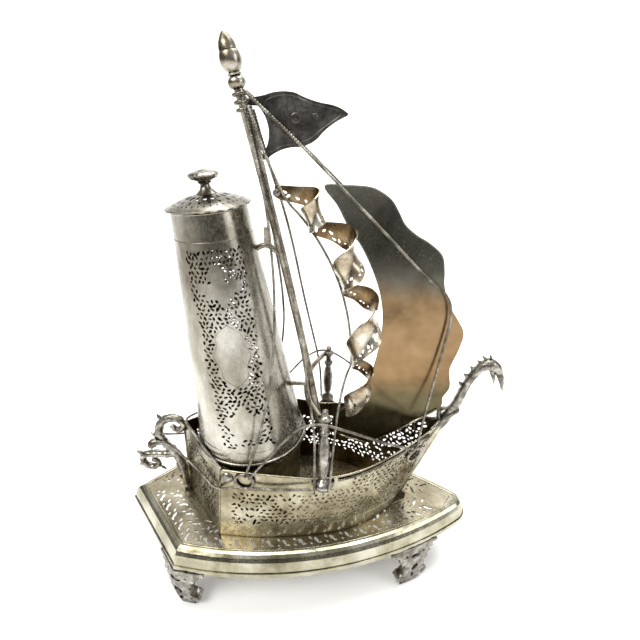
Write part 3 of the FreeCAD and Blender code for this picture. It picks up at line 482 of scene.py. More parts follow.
def buildTray(p):
    rng = random.Random(11)
    outer = wholeLoop(trayHalf(p, p["inset"]))
    bandOuter = wholeLoop(trayHalf(p, p["bandOuter"]))
    bandInner = wholeLoop(trayHalf(p, p["bandInner"]))
    middleLoop = trayHalf(p, (p["bandOuter"] + p["bandInner"]) / 2, 60)
    holes = []
    # a running scroll: leaves either side of a stem line, drops between
    walk = []
    for (x0, y0), (x1, y1) in zip(middleLoop, middleLoop[1:]):
        length = math.hypot(x1 - x0, y1 - y0)
        if length > 1e-6:
            walk.append((x0, y0, (x1 - x0) / length, (y1 - y0) / length, length))
    travelled = 0.0
    nextAt = 5.0
    index = 0
    for x0, y0, ux, uy, length in walk:
        while nextAt <= travelled + length:
            t = nextAt - travelled
            x, y = x0 + ux * t, y0 + uy * t
            heading = math.atan2(uy, ux)
            up = 1 if index % 2 else -1
            for across, along, size, width, turn in (
                    (4.6 * up, 0.0, 5.4, 2.5, 0.9 * up), (7.2 * up, 2.4, 3.6, 1.8, 0.2 * up),
                    (2.0 * up, -2.8, 4.0, 1.9, 1.5 * up),
                    (-2.6 * up, 1.6, 3.6, 1.8, -0.7 * up), (-5.6 * up, -1.4, 3.6, 1.7, -1.9 * up),
                    (-7.4 * up, 2.0, 2.8, 1.6, 2.4 * up)):
                hx = x + ux * along - uy * across
                hy = y + uy * along + ux * across
                if not inside((hx, hy), bandOuter) or inside((hx, hy), bandInner):
                    continue
                if distanceToLoop((hx, hy), bandOuter) < 1.6 or distanceToLoop((hx, hy), bandInner) < 1.6:
                    continue
                shape = leafHole(hx, hy, size * 1.22, width * 1.22,
                    heading + turn + rng.uniform(-0.15, 0.15))
                if any(math.hypot(hx - qx, hy - qy) < 3.5 for qx, qy in placed(holes)):
                    continue
                holes.append(shape)
            index += 1
            nextAt += 6.2
        travelled += length
    both = [hole for hole in holes if hole[0][1] > 2.4]
    both += [[(x, -y) for x, y in reversed(hole)] for hole in both]
    height = p["plateTop"] - p["sheet"] / 2
    piercedSheet("trayPlate", outer, both, lambda u, v: mm(u, v, height), p["sheet"], 7.0, "plate",
        nodes=("tray_plate",), slot="silver_smooth")
    # engraved line inside the band and a raised bead outside it
    for name, inset, radius in (("trayBead", p["inset"] + 1.4, 0.75),
            ("trayInnerLine", p["bandInner"] + 2.0, 0.3)):
        loop = wholeLoop(trayHalf(p, inset))
        wireTube(name, [mm(x, y, p["plateTop"] + 0.02) for x, y in loop], radius, "moulding", closed=True,
            slot="silver_smooth")


def placed(holes):
    return [(sum(x for x, y in hole) / len(hole), sum(y for x,
        y in hole) / len(hole)) for hole in holes[-60:]]


def frames(points, closed=False):
    # Points with a pair of steady cross directions at each.
    count = len(points)
    tangents = []
    for i in range(count):
        a = points[(i - 1) % count] if closed or i > 0 else points[0]
        b = points[(i + 1) % count] if closed or i < count - 1 else points[-1]
        tangents.append((b - a).normalized())
    side = tangents[0].orthogonal().normalized()
    out = []
    for point, way in zip(points, tangents):
        side = (side - way * side.dot(way)).normalized()
        out.append((point, side, way.cross(side)))
    return out


def wireTube(name, points, radius, metal, closed=False, ring=8, slot=None, nodes=(), body="ship",
        radii=None, keep=True):
    # Round wire along points given in metres, radius in millimetres, or a list of radii.
    verts, faces = [], []
    steps = frames(points, closed)
    count = len(steps)
    for i, (point, a, b) in enumerate(steps):
        r = (radii[i] if radii else radius) / 1000
        for k in range(ring):
            angle = math.tau * k / ring
            verts.append(point + a * (r * math.cos(angle)) + b * (r * math.sin(angle)))
    for i in range(count if closed else count - 1):
        j = (i + 1) % count
        for k in range(ring):
            m = (k + 1) % ring
            faces.append((i * ring + k, i * ring + m, j * ring + m, j * ring + k))
    if not closed:
        faces.append(tuple(reversed(range(ring))))
        faces.append(tuple(range((count - 1) * ring, count * ring)))
    if not keep:
        return verts, faces
    return addMesh(name, verts, faces, metal, body=body, nodes=nodes, slot=slot)


def joined(parts):
    # Several (verts, faces) as one.
    verts, faces = [], []
    for partVerts, partFaces in parts:
        start = len(verts)
        verts += partVerts
        faces += [tuple(start + i for i in face) for face in partFaces]
    return verts, faces


def smoothRoute(points, step=0.0012):
    # Even points along a quadratic curve that the route's points pull.
    points = [Vector(p) for p in points]
    fine = [points[0]]
    start = points[0]
    for i in range(1, len(points) - 1):
        end = points[-1] if i == len(points) - 2 else (points[i] + points[i + 1]) / 2
        for k in range(1, 25):
            t = k / 24
            fine.append(start * (1 - t) ** 2 + points[i] * (2 * t * (1 - t)) + end * t ** 2)
        start = end
    if len(points) == 2:
        fine = [points[0].lerp(points[1], k / 24) for k in range(25)]
    lengths = [0.0]
    for a, b in zip(fine, fine[1:]):
        lengths.append(lengths[-1] + (b - a).length)
    count = max(4, int(lengths[-1] / step))
    out = []
    j = 0
    for i in range(count + 1):
        want = lengths[-1] * i / count
        while j < len(lengths) - 2 and lengths[j + 1] < want:
            j += 1
        t = (want - lengths[j]) / max(lengths[j + 1] - lengths[j], 1e-9)
        out.append(fine[j].lerp(fine[j + 1], max(0, min(1, t))))
    return out


def twistedWire(name, route, radius, nodes=(), pitch=3.6, strands=2, metal="wire"):
    # Wires laid round each other along a route in ship millimetres; radius is the whole rope's.
    path = smoothRoute([mm(*p) for p in route], 0.0007)
    strand = radius * 0.56
    lay = radius - strand
    parts = []
    steps = frames(path)
    for s in range(strands):
        line = []
        for i, (point, a, b) in enumerate(steps):
            angle = math.tau * (i * 0.7 / pitch + s / strands)
            line.append(point + (a * math.cos(angle) + b * math.sin(angle)) * (lay / 1000))
        parts.append(wireTube("", line, strand, metal, ring=6, keep=False))
    verts, faces = joined(parts)
    return addMesh(name, verts, faces, metal, nodes=nodes, slot="silver_wire")


buildTray(traySize)

# Feet

footSet = {
    "thickness": 8.0, "inset": 3.4, "spread": 1.34, "bowStation": 250.0,
    "profile": [(-17, 50), (-17, 46.4), (-13.5, 45.5), (-14, 42), (-10.8, 41), (-11.8, 37), (-8.4, 35.5),
    (-9.6, 31), (-6.8, 29), (-8.2, 24.5),
                (-6, 21), (-7.2, 17), (-10, 15), (-11.4, 11), (-10, 7.2), (-6.6, 6.2), (-7.4, 3), (-5, 0),
                (5, 0), (7.6, 3), (6.4, 6),
                (10.4, 6.6), (12.2, 10.6), (10.6, 14.6), (7.4, 16.4), (6, 21), (8.2, 24.5), (6.8, 29),
                (9.6, 31), (8.4, 35.5), (11.8, 37),
                (10.8, 41), (14, 42), (13.5, 45.5), (17, 46.4), (17, 50)],
    "eyes": [(0.4, 23.0, 2.5, 4.6), (7.6, 11.0, 1.7, 1.7), (-7.0, 11.2, 1.5, 1.5), (0, 38.5, 3.4, 1.8),
    (-6.2, 41.0, 1.3, 1.3), (6.2, 41.0, 1.3, 1.3),
             (0.3, 11.0, 1.3, 2.6)],
}


def alongPath(path, start, distance):
    # Point at a signed distance along a polyline from its point number start.
    step = 1 if distance >= 0 else -1
    left = abs(distance)
    i = start
    while 0 <= i + step < len(path):
        a, b = path[i], path[i + step]
        length = math.hypot(b[0] - a[0], b[1] - a[1])
        if left <= length:
            t = left / length
            return (a[0] + (b[0] - a[0]) * t, a[1] + (b[1] - a[1]) * t)
        left -= length
        i += step
    return path[i]


def buildFoot(name, node, start, path, side, p, seed):
    eyes = [[(x + rx * math.cos(math.tau * k / 10),
        z + rz * math.sin(math.tau * k / 10)) for k in range(10)] for x, z, rx, rz in p["eyes"]]

    def place(u, v):
        x, y = alongPath(path, start, u * p["spread"])
        inward = 1 + 0.10 * (1 - v / 50)
        belly = 2.2 * math.sin(math.pi * v / 50)
        nx, ny = x - 140, y
        length = math.hypot(nx, ny)
        return mm(x + belly * nx / length, side * (y + belly * ny / length) * (2 - inward) + 0, v)

    flat, faces = sheetMesh(p["profile"], eyes, 3.0)
    piece = addMesh(name, [place(u, v) for u, v in flat], faces, "cast", nodes=(node,), slot="silver_cast")
    solid = piece.modifiers.new("thickness", "SOLIDIFY")
    solid.thickness = p["thickness"] / 1000
    solid.offset = 0
    bevel = piece.modifiers.new("soft edges", "BEVEL")
    bevel.width = 0.0011
    bevel.segments = 2
    bevel.limit_method = "ANGLE"
    bevel.angle_limit = math.radians(50)
    applyAll(piece)
    for vertex in piece.data.vertices:
        lump = noise.noise(vertex.co * 260 + Vector((seed, 0, 0)))
        if vertex.co.z > 0.001:
            vertex.co += vertex.normal * (0.0012 * lump)
        vertex.co.z = min(max(vertex.co.z, 0.0), 0.05)
    for polygon in piece.data.polygons:
        polygon.use_smooth = True
    return piece


footPath = trayHalf(traySize, footSet["inset"], 60)
shoulderIndex = 8
bowIndex = min(range(len(footPath)), key=lambda i: abs(footPath[i][0] - footSet["bowStation"]))
for sideName, side in sides.items():
    buildFoot(f"footStern_{sideName}", f"foot_stern_{sideName}", shoulderIndex, footPath, side, footSet,
        3 + side)
    buildFoot(f"footBow_{sideName}", f"foot_bow_{sideName}", bowIndex, footPath, side, footSet, 9 + side)

# Hull

hullSet = {
    "floor": [(91.0, 46.8), (119.0, 48.1), (142.0, 46.6), (165.0, 44.0), (188.0, 38.8), (206.0, 30.9),
    (221.0, 21.2), (230.0, 13.0), (236.0, 3.4)],
    "upper": [(98.5, 45.6), (123.0, 48.2), (146.0, 48.4), (168.0, 47.6), (190.0, 45.6), (210.0, 39.0),
    (230.0, 28.0), (250.0, 14.6), (267.0, 3.6)],
    "floorApex": (53.7, 0.0), "upperApex": (56.2, 0.0), "low": 68.0, "high": 155.0, "sheet": 0.9,
    "sheer": [(40.0, 142.6), (56.0, 141.8), (76.0, 138.0), (98.0, 136.2), (125.0, 135.6), (146.0, 133.6),
    (168.0, 131.0), (184.0, 133.0),
              (206.0, 136.6), (226.0, 141.0), (245.0, 145.4), (268.0, 153.0)],
    "bandLow": 84.0, "bandHigh": 117.0, "plainStern": 9.0, "pitch": 4.3, "hole": 3.5,
}


def along(line, t):
    # Smooth point on a list of points at t counted in points.
    i = max(0, min(len(line) - 2, int(t)))
    f = t - i
    p0 = line[max(i - 1, 0)]
    p1, p2 = line[i], line[i + 1]
    p3 = line[min(i + 2, len(line) - 1)]
    out = []
    for a, b, c, d in zip(p0, p1, p2, p3):
        out.append(0.5 * (2 * b + (c - a) * f + (2 * a - 5 * b + 4 * c - d) * f * f
            + (3 * b - a - 3 * c + d) * f ** 3))
    return out


def stepped(line, x):
    for (x0, z0), (x1, z1) in zip(line, line[1:]):
        if x0 <= x <= x1:
            return z0 + (z1 - z0) * (x - x0) / (x1 - x0)
    return line[0][1] if x < line[0][0] else line[-1][1]


def hullAt(p, t, z):
    share = (z - p["low"]) / (p["high"] - p["low"])
    fx, fy = along(p["floor"], t)
    ux, uy = along(p["upper"], t)
    return fx + (ux - fx) * share, fy + (uy - fy) * share


class HullLayout:
    """Lays the side out flat: u runs along the side in millimetres, v is the height."""

    def __init__(self, p):
        self.p = p
        self.ts = [8 * i / 160 for i in range(161)]
        self.us = [0.0]
        last = hullAt(p, 0, 105)
        for t in self.ts[1:]:
            here = hullAt(p, t, 105)
            self.us.append(self.us[-1] + math.hypot(here[0] - last[0], here[1] - last[1]))
            last = here
        self.length = self.us[-1]

    def t(self, u):
        u = max(0, min(self.length, u))
        lo, hi = 0, len(self.us) - 1
        while hi - lo > 1:
            mid = (lo + hi) // 2
            if self.us[mid] > u:
                hi = mid
            else:
                lo = mid
        f = (u - self.us[lo]) / (self.us[hi] - self.us[lo])
        return self.ts[lo] + (self.ts[hi] - self.ts[lo]) * f

    def top(self, u):
        z = 135.0
        for _ in range(4):
            z = stepped(self.p["sheer"], hullAt(self.p, self.t(u), z)[0])
        return z

    def place(self, u, v):
        return hullAt(self.p, self.t(u), v)


hullLayout = HullLayout(hullSet)


def buildHullSides(p):
    lay = hullLayout
    steps = 60
    outline = [(lay.length * i / steps, p["low"] + 0.2) for i in range(steps + 1)]
    outline += [(lay.length * i / steps, lay.top(lay.length * i / steps)) for i in range(steps, -1, -1)]

    def allowed(u, v):
        if u < p["plainStern"] or u > lay.length - 5:
            return False
        high = lay.top(u) - 3.4 if u > 100 else p["bandHigh"] + 3 * max(0, (u - 70) / 30)
        high = min(high, lay.top(u) - 3.4)
        if v < p["bandLow"] or v > high:
            return False
        # stem of the scroll and its leaves stay solid
        mid = (p["bandLow"] + p["bandHigh"]) / 2 + 1
        stem = mid + 6.5 * math.sin(u / 26 * math.tau / 1.35)
        if abs(v - stem) < 1.5:
            return False
        for k in range(6):
            cu, cv = 22 + 30 * k, mid + (6 if k % 2 else -6)
            r = math.hypot(u - cu, v - cv)
            if abs(r - 7.2) < 1.0:
                return False
            if r < 3.0:
                return False
        return True

    for name, side in sides.items():
        rng = random.Random(21)
        holes = fieldOfHoles(rng, allowed, (0, p["bandLow"]), (lay.length, 152), p["pitch"], p["hole"])

        def place(u, v, side=side):
            x, y = lay.place(u, v)
            return mm(x, side * (y - p["sheet"] / 2), v)

        piece = piercedSheet(f"hullSide_{name}", outline, holes, place, p["sheet"], 6.0, "hull",
            nodes=(f"hull_side_{name}",), slot="silver_sheet",)
        lineInside(piece, mm(160, 0, 110), "hullInside")
        edge = [mm(lay.place(u, lay.top(u))[0], side * (lay.place(u, lay.top(u))[1] - 0.4),
            lay.top(u)) for u, v in outline[:steps + 1]]
        wireTube(f"gunwaleEdge_{name}", edge, 0.75, "hull", slot="silver_smooth")
        for k, height in enumerate((p["bandLow"] - 2.6, p["bandHigh"] + 2.6)):
            last = steps + 1 if k == 0 else 34
            line = [mm(lay.place(u, height)[0], side * (lay.place(u, height)[1] + 0.02), height) for u,
                v in outline[2:last - 2]]
            wireTube(f"hullLine{k}_{name}", line, 0.28, "hull", ring=6, slot="silver_smooth")


def lineInside(piece, centre, metal):
    # The face towards centre takes another metal, as the unpolished inside does.
    total = sum(polygon.normal.dot(polygon.center - centre) for polygon in piece.data.polygons)
    if total < 0:
        piece.data.flip_normals()
    piece.data.materials.append(metals[metal])
    solid = piece.modifiers["thickness"]
    solid.material_offset = 1


def buildSternPanels(p):
    fa, fs = p["floorApex"], p["floor"][0]
    ua, us = p["upperApex"], p["upper"][0]
    width = math.hypot(ua[0] - us[0], ua[1] - us[1])

    def spot(u, v):
        share = (v - p["low"]) / (p["high"] - p["low"])
        t = u / width
        x = (fa[0] + (fs[0] - fa[0]) * t) * (1 - share) + (ua[0] + (us[0] - ua[0]) * t) * share
        y = (fa[1] + (fs[1] - fa[1]) * t) * (1 - share) + (ua[1] + (us[1] - ua[1]) * t) * share
        return x, y

    def top(u):
        x, y = spot(u, 138)
        z = stepped(p["sheer"], x)
        if math.hypot(x - 112.5, y) < 43.8:
            z = min(z, 134.9)
        return z

    outline = [(0, p["low"] + 0.2), (width, p["low"] + 0.2)] + [(width * i / 30,
        top(width * i / 30)) for i in range(30, -1, -1)]

    def allowed(u, v):
        if u < 6 or u > width - 7 or v < 78 or v > min(top(u), 130) - 3:
            return False
        r = math.hypot(u - width / 2, (v - 104) * 0.8)
        return not (abs(r - 13) < 1.1 or r < 3.2 or abs(r - 7.2) < 0.9)

    for name, side in sides.items():
        rng = random.Random(31)
        holes = fieldOfHoles(rng, allowed, (0, 78), (width, 140), p["pitch"], p["hole"])

        def place(u, v, side=side):
            x, y = spot(u, v)
            return mm(x + 0.35, side * (y - 0.25), v)

        piece = piercedSheet(f"hullStern_{name}", outline, holes, place, p["sheet"], 7.0, "hull",
            nodes=(f"hull_stern_{name}",), slot="silver_sheet")
        lineInside(piece, mm(112, 0, 110), "hullInside")
    corners = {"shoulderSeam_starboard": -1, "shoulderSeam_port": 1}
    for name, side in corners.items():
        line = [mm(*[a if k == 0 else side * a for k, a in enumerate(spot(width, z))], z) for z in (68.4,
            90, 112, 135.4)]
        wireTube(name, line, 0.7, "hull", slot="silver_smooth")
    wireTube("sternSeam", [mm(spot(0, z)[0] - 0.1, 0, z) for z in (68.4, 90, 112, 141)], 0.9, "hull",
        slot="silver_smooth")


metals["hullInside"] = makeSilver("hullInsideSilver", {
    "dark": (0.045, 0.03, 0.014), "mid": (0.13, 0.09, 0.045), "light": (0.27, 0.21, 0.12), "patch": 20,
    "grain": 0.8, "wave": 14,
    "smooth": 0.22, "rough": 0.5})
buildHullSides(hullSet)
buildSternPanels(hullSet)

# Tower

towerSet = {
    "foot": (112.5, 137.0, 41.5), "top": (93.0, 318.0, 24.2), "sheet": 0.9, "meanRadius": 33.0,
    "panels": (-80.0, 80.0), "halfWidth": 20.0, "panelLow": 15.0, "panelHigh": 161.0, "pitch": 3.5,
    "hole": 3.05,
}
towerLean = math.atan2(towerSet["foot"][0] - towerSet["top"][0], towerSet["top"][1] - towerSet["foot"][1])
towerHeight = math.hypot(towerSet["foot"][0] - towerSet["top"][0], towerSet["top"][1] - towerSet["foot"][1])


def towerPoint(p, angle, h, out=0.0):
    # Point on the tower's outer face: angle from the bow, h along the axis.
    share = h / towerHeight
    fx, fz, fr = p["foot"]
    tx, tz, tr = p["top"]
    fr += out
    tr += out
    foot = Vector((fx + fr * math.cos(angle), fr * math.sin(angle), fz))
    c, s = math.cos(towerLean), math.sin(towerLean)
    top = Vector((tx + tr * math.cos(angle) * c, tr * math.sin(angle), tz + tr * math.cos(angle) * s))
    spot = foot.lerp(top, share)
    return mm(*spot)


def motifs(u, v):
    # Signed test for the solid motifs of a tower panel: True where the sheet stays whole.
    # pointed cartouche with lobed sides
    cu, cv = u, v - 88
    half = 11.5 * (1 - (abs(cv) / 24) ** 2.2) + 1.6 * math.cos(cv / 24 * math.pi * 3)
    if abs(cv) < 24 and abs(cu) < half:
        return True
    # bud on a stalk with two leaves
    for bu, bv, length, width, turn in ((0, 142, 15, 7.5, 1.57), (-7, 134, 13, 6, 2.5),
            (7, 134, 13, 6, 0.64), (0, 130, 12, 2.2, 1.57)):
        c, s = math.cos(turn), math.sin(turn)
        a, b = (u - bu) * c + (v - bv) * s, -(u - bu) * s + (v - bv) * c
        if (a / (length / 2)) ** 2 + (b / (width / 2)) ** 2 < 1:
            return True
    # five-leaved flower
    for k in range(5):
        turn = math.pi / 2 + math.tau * k / 5
        c, s = math.cos(turn), math.sin(turn)
        a, b = u * c + (v - 33) * s - 8.2, -u * s + (v - 33) * c
        if (a / 6.8) ** 2 + (b / 3.7) ** 2 < 1:
            return True
    return math.hypot(u, v - 33) < 3.2


def buildTower(p):
    rng = random.Random(41)
    reach = math.pi * p["meanRadius"]
    outline = [(-reach, 0.3), (reach, 0.3), (reach, towerHeight), (-reach, towerHeight)]
    holes = []
    for k, centre in enumerate(p["panels"]):
        at = math.radians(centre) * p["meanRadius"]

        def allowed(u, v, at=at):
            du = u - at
            local = du * (p["meanRadius"] / 33)
            half = p["halfWidth"] * (33.0 / (41.5 - 17.3 * v / towerHeight))
            if abs(du) > half - 1.2 or not p["panelLow"] < v < p["panelHigh"]:
                return False
            scale = (41.5 - 17.3 * v / towerHeight) / 33.0
            real = local * scale
            if motifs(real, v):
                return False
            return not any(motifs(real + du2, v + dv2) for du2,
                dv2 in ((1.5, 0), (-1.5, 0), (0, 1.5), (0, -1.5)))

        holes += fieldOfHoles(rng, allowed, (at - 30, p["panelLow"]), (at + 30, p["panelHigh"]), p["pitch"],
            p["hole"])

    def place(u, v):
        return towerPoint(p, u / p["meanRadius"], v, -p["sheet"] / 2)

    piece = piercedSheet("towerWall", outline, holes, place, p["sheet"], 5.5, "tower",
        nodes=("tower_wall",), slot="silver_sheet")
    weld = bmesh.new()
    weld.from_mesh(piece.data)
    bmesh.ops.remove_doubles(weld, verts=weld.verts, dist=0.0002)
    bmesh.ops.recalc_face_normals(weld, faces=weld.faces)
    weld.to_mesh(piece.data)
    weld.free()
    lineInside(piece, mm(102, 0, 228), "hullInside")
    for name, h, out, radius in (("towerMouthBead", towerHeight - 0.6, 0.1, 0.7),
            ("towerBandLine", 164.5, 0.0, 0.3), ("towerFootBead", 1.0, 0.6, 1.0),
                                 ("towerFootLine", 10.5, 0.0, 0.3)):
        loop = [towerPoint(p, math.tau * i / 96, h, out) for i in range(96)]
        wireTube(name, loop, radius, "tower", closed=True, slot="silver_smooth")
    for k, centre in enumerate(p["panels"]):
        for j, rise in enumerate((0.0, 2.0)):
            ring = []
            for i in range(80):
                angle = math.tau * i / 80
                v = (24 + rise) * math.sin(angle)
                grow = 1 + rise / 16
                half = (11.5 * (1 - (abs(v) / (24 + rise)) ** 2.2) + 1.6 * math.cos(v / 24 * math.pi * 3)
                    * 0.8) * grow
                u = half if math.cos(angle) >= 0 else -half
                scale = (41.5 - 17.3 * (88 + v) / towerHeight)
                ring.append(towerPoint(p, math.radians(centre) + u / scale, 88 + v, 0.02))
            if j == 0:
                wireTube(f"cartoucheLine_{k}", ring, 0.25, "tower", closed=True, ring=6,
                    slot="silver_smooth")


buildTower(towerSet)

# Lid and knob

lidSet = {"radius": 27.7, "rise": 7.5, "sheet": 0.8}


def lidPlace(x, y, z):
    # A spot on the lid, measured from the middle of the tower's mouth.
    c, s = math.cos(towerLean), math.sin(towerLean)
    return mm(towerSet["top"][0] + x * c - z * s, y, towerSet["top"][1] + x * s + z * c)


def buildLid(p):
    radius = p["radius"]
    outline = []
    for i in range(96):
        angle = math.tau * i / 96
        r = radius - 0.5 - 0.5 * math.cos(angle * 24)
        outline.append((r * math.cos(angle), r * math.sin(angle)))
    holes = rosette(0, 0, 12.2, 18, 5.6) + rosette(0, 0, 17.8, 18, 3.4, math.pi / 18) + rosette(0, 0, 21.6,
        36, 2.2)

    def place(u, v):
        r = math.hypot(u, v) / radius
        return lidPlace(u, v, 0.5 + p["rise"] * (1 - r ** 1.7))

    piercedSheet("lidDome", outline, holes, place, p["sheet"], 2.6, "lid", body="lid", nodes=("lid_dome",),
        slot="silver_smooth")
    wireTube("lidRimBead", [lidPlace(26.6 * math.cos(math.tau * i / 90), 26.6 * math.sin(math.tau * i / 90),
        0.95) for i in range(90)], 0.6, "lid",
             closed=True, body="lid", slot="silver_smooth")
    profile = [(6.4, 7.0), (6.6, 7.9), (5.4, 9.0), (3.8, 10.6), (3.0, 12.6), (3.0, 13.6), (4.4, 14.4),
        (4.0, 15.2), (5.4, 15.9), (8.0, 17.0), (9.2, 18.4), (9.4, 19.4),
               (8.6, 20.4), (6.4, 21.2), (5.6, 21.0), (4.0, 21.6), (2.0, 22.3), (0.01, 22.5)]
    turnedPiece("lidKnob", profile, lidPlace, "lid", body="lid", nodes=("lid_knob",), slot="silver_cast",
        lobes=(16, 17.0, 20.6, 0.03))


def turnedPiece(name, profile, place, metal, body="ship", nodes=(), slot=None, ring=64, lobes=None):
    # Turned form from (radius, height) pairs; lobes = (count, low, high, depth) flutes it.
    verts, faces = [], []
    for r, z in profile:
        for k in range(ring):
            angle = math.tau * k / ring
            rr = r
            if lobes and lobes[1] <= z <= lobes[2]:
                rr = r * (1 + lobes[3] * math.cos(lobes[0] * angle))
            verts.append(place(rr * math.cos(angle), rr * math.sin(angle), z))
    for i in range(len(profile) - 1):
        for k in range(ring):
            m = (k + 1) % ring
            faces.append((i * ring + k, i * ring + m, (i + 1) * ring + m, (i + 1) * ring + k))
    faces.append(tuple(reversed(range(ring))))
    faces.append(tuple(range((len(profile) - 1) * ring, len(profile) * ring)))
    piece = addMesh(name, verts, faces, metal, body=body, nodes=nodes, slot=slot)
    edgeSplit(piece, 40)
    return piece


buildLid(lidSet)

# Bird and stern scroll


def castLimb(points, radii, fat=12, lump=0.35, seed=0.0):
    # Tapered limb along points; radii are given at the points.
    path = smoothRoute([mm(*p) for p in points], 0.0012)
    lengths = [0.0]
    for a, b in zip(points, points[1:]):
        lengths.append(lengths[-1] + math.dist(a, b))
    out = []
    for i in range(len(path)):
        want = lengths[-1] * i / (len(path) - 1)
        j = max(k for k in range(len(lengths) - 1) if lengths[k] <= want + 1e-9)
        t = (want - lengths[j]) / (lengths[j + 1] - lengths[j])
        out.append(radii[j] + (radii[j + 1] - radii[j]) * t)
    verts, faces = wireTube("", path, 1, "cast", ring=fat, radii=out, keep=False)
    verts = [v + (v - path[min(i // fat,
        len(path) - 1)]).normalized() * lump / 1000 * noise.noise(v * 420 + Vector((seed, 0, 0)))
             for i, v in enumerate(verts)]
    return verts, faces


def castLeaf(root, tip, width, thick, bend, seed=0.0):
    # Pointed leaf between two spots, bowed sideways.
    a, b = Vector(root), Vector(tip)
    way = (b - a)
    across = Vector((-way.z, 0, way.x)).normalized()
    points = [tuple(a + way * t + across * bend * math.sin(math.pi * t)) for t in (0, 0.25, 0.5, 0.75, 1)]
    return castLimb(points, [thick * 0.6, width * 0.8, width, width * 0.6, 0.4], seed=seed)


def buildBird():
    neck = [(264.5, 0, 147.0), (268.0, 0, 155.0), (272.4, 0, 163.5), (276.4, 0, 174.0), (279.4, 0, 186.0),
        (283.4, 0, 197.0), (288.6, 0, 205.0),
            (294.6, 0, 208.2), (300.0, 0, 206.0), (304.0, 0, 199.6), (306.8, 0, 192.0), (309.0, 0, 184.6)]
    radii = [3.8, 4.4, 4.2, 3.8, 3.5, 3.5, 3.9, 5.0, 4.0, 2.8, 1.9, 0.7]
    parts = [castLimb(neck, radii, lump=0.5)]
    parts.append(castLimb([(297.0, 0, 203.4), (300.0, 0, 197.6), (301.0, 0, 190.6)], [2.4, 1.7, 0.5]))
    parts.append(castLeaf((293.6, 0, 210.6), (288.4, 0, 215.4), 1.3, 1.0, 1.0))
    parts.append(castLeaf((296.2, 0, 211.6), (293.8, 0, 216.2), 1.1, 1.0, 0.6))
    parts.append(castLeaf((290.6, 0, 208.6), (284.6, 0, 211.0), 1.3, 1.0, 0.8))
    for k, (x, z) in enumerate(((285.0, 202.4), (281.4, 195.6), (278.6, 188.0))):
        parts.append(castLeaf((x, 0, z), (x - 4.6, 0, z + 3.4), 1.7, 1.5, 0.6, seed=k))
    parts.append(castLimb([(266.6, 0, 151.0), (262.0, 0, 158.0), (264.0, 0, 166.0), (270.0, 0, 166.6)],
        [2.2, 2.0, 1.8, 1.2], seed=3))
    for side in (-1, 1):
        parts.append(castLimb([(268.0, 0, 156.0), (262.6, side * 3.6, 151.6), (256.0, side * 8.0, 149.4)],
            [2.2, 1.6, 1.0], seed=side))
    verts, faces = joined(parts)
    addMesh("prowBird", verts, faces, "cast", nodes=("prow_bird",), slot="silver_cast")


def buildSternScroll():
    stalk = [(51.0, 0, 70.4), (49.8, 0, 84.0), (49.4, 0, 97.0), (44.6, 0, 109.0), (36.0, 0, 119.0),
        (32.6, 0, 131.0), (37.4, 0, 142.0), (47.6, 0, 146.4),
             (55.6, 0, 141.4), (54.0, 0, 133.6), (47.4, 0, 132.6), (45.4, 0, 137.4)]
    parts = [castLimb(stalk, [3.0, 3.2, 3.8, 4.0, 3.5, 3.7, 3.6, 3.3, 3.0, 2.7, 2.4, 2.2], lump=0.9)]
    branch = [(45.6, 0, 107.6), (36.0, 0, 105.6), (26.0, 0, 106.2), (16.4, 0, 104.4), (14.6, 0, 96.0),
        (20.4, 0, 90.4), (28.6, 0, 92.6), (28.8, 0, 99.0), (23.6, 0, 99.0)]
    parts.append(castLimb(branch, [3.2, 3.3, 3.5, 3.1, 2.9, 3.0, 2.6, 2.3, 2.1], lump=0.9, seed=5))
    parts.append(castLimb([(36.8, 0, 118.6), (30.6, 0, 119.6), (25.0, 0, 116.6), (24.6, 0, 112.4)],
        [2.6, 3.0, 4.2, 1.8], lump=0.8, seed=6))
    parts.append(castLeaf((33.0, 0, 127.0), (26.4, 0, 129.4), 1.9, 1.3, 1.0))
    parts.append(castLeaf((38.6, 0, 143.0), (34.4, 0, 148.6), 1.7, 1.2, 1.0))
    parts.append(castLeaf((18.0, 0, 105.4), (11.0, 0, 108.4), 2.0, 1.4, 0.8))
    parts.append(castLeaf((15.6, 0, 95.4), (10.4, 0, 92.4), 1.7, 1.2, 0.6))
    parts.append(castLeaf((50.0, 0, 90.0), (43.6, 0, 95.6), 1.9, 1.4, 1.0))
    parts.append(castLeaf((50.4, 0, 78.0), (44.8, 0, 82.6), 1.7, 1.3, 0.8))
    parts.append(castLeaf((29.0, 0, 91.6), (34.4, 0, 88.4), 1.5, 1.1, 0.6))
    verts, faces = joined(parts)
    addMesh("sternScroll", verts, faces, "cast", nodes=("stern_scroll",), slot="silver_cast")


buildBird()
buildSternScroll()

# Festoon

festoonSet = {
    "knots": [(136.5, -5.0, 329.0), (158.5, -6.0, 308.0), (181.5, -8.0, 267.0), (190.5, -13.0, 212.0),
    (187.6, -20.0, 173.0)],
    "radii": [8.6, 9.2, 9.0, 7.0], "narrow": 5.5, "wide": [18.0, 22.0, 22.0, 16.5], "sheet": 0.7,
}


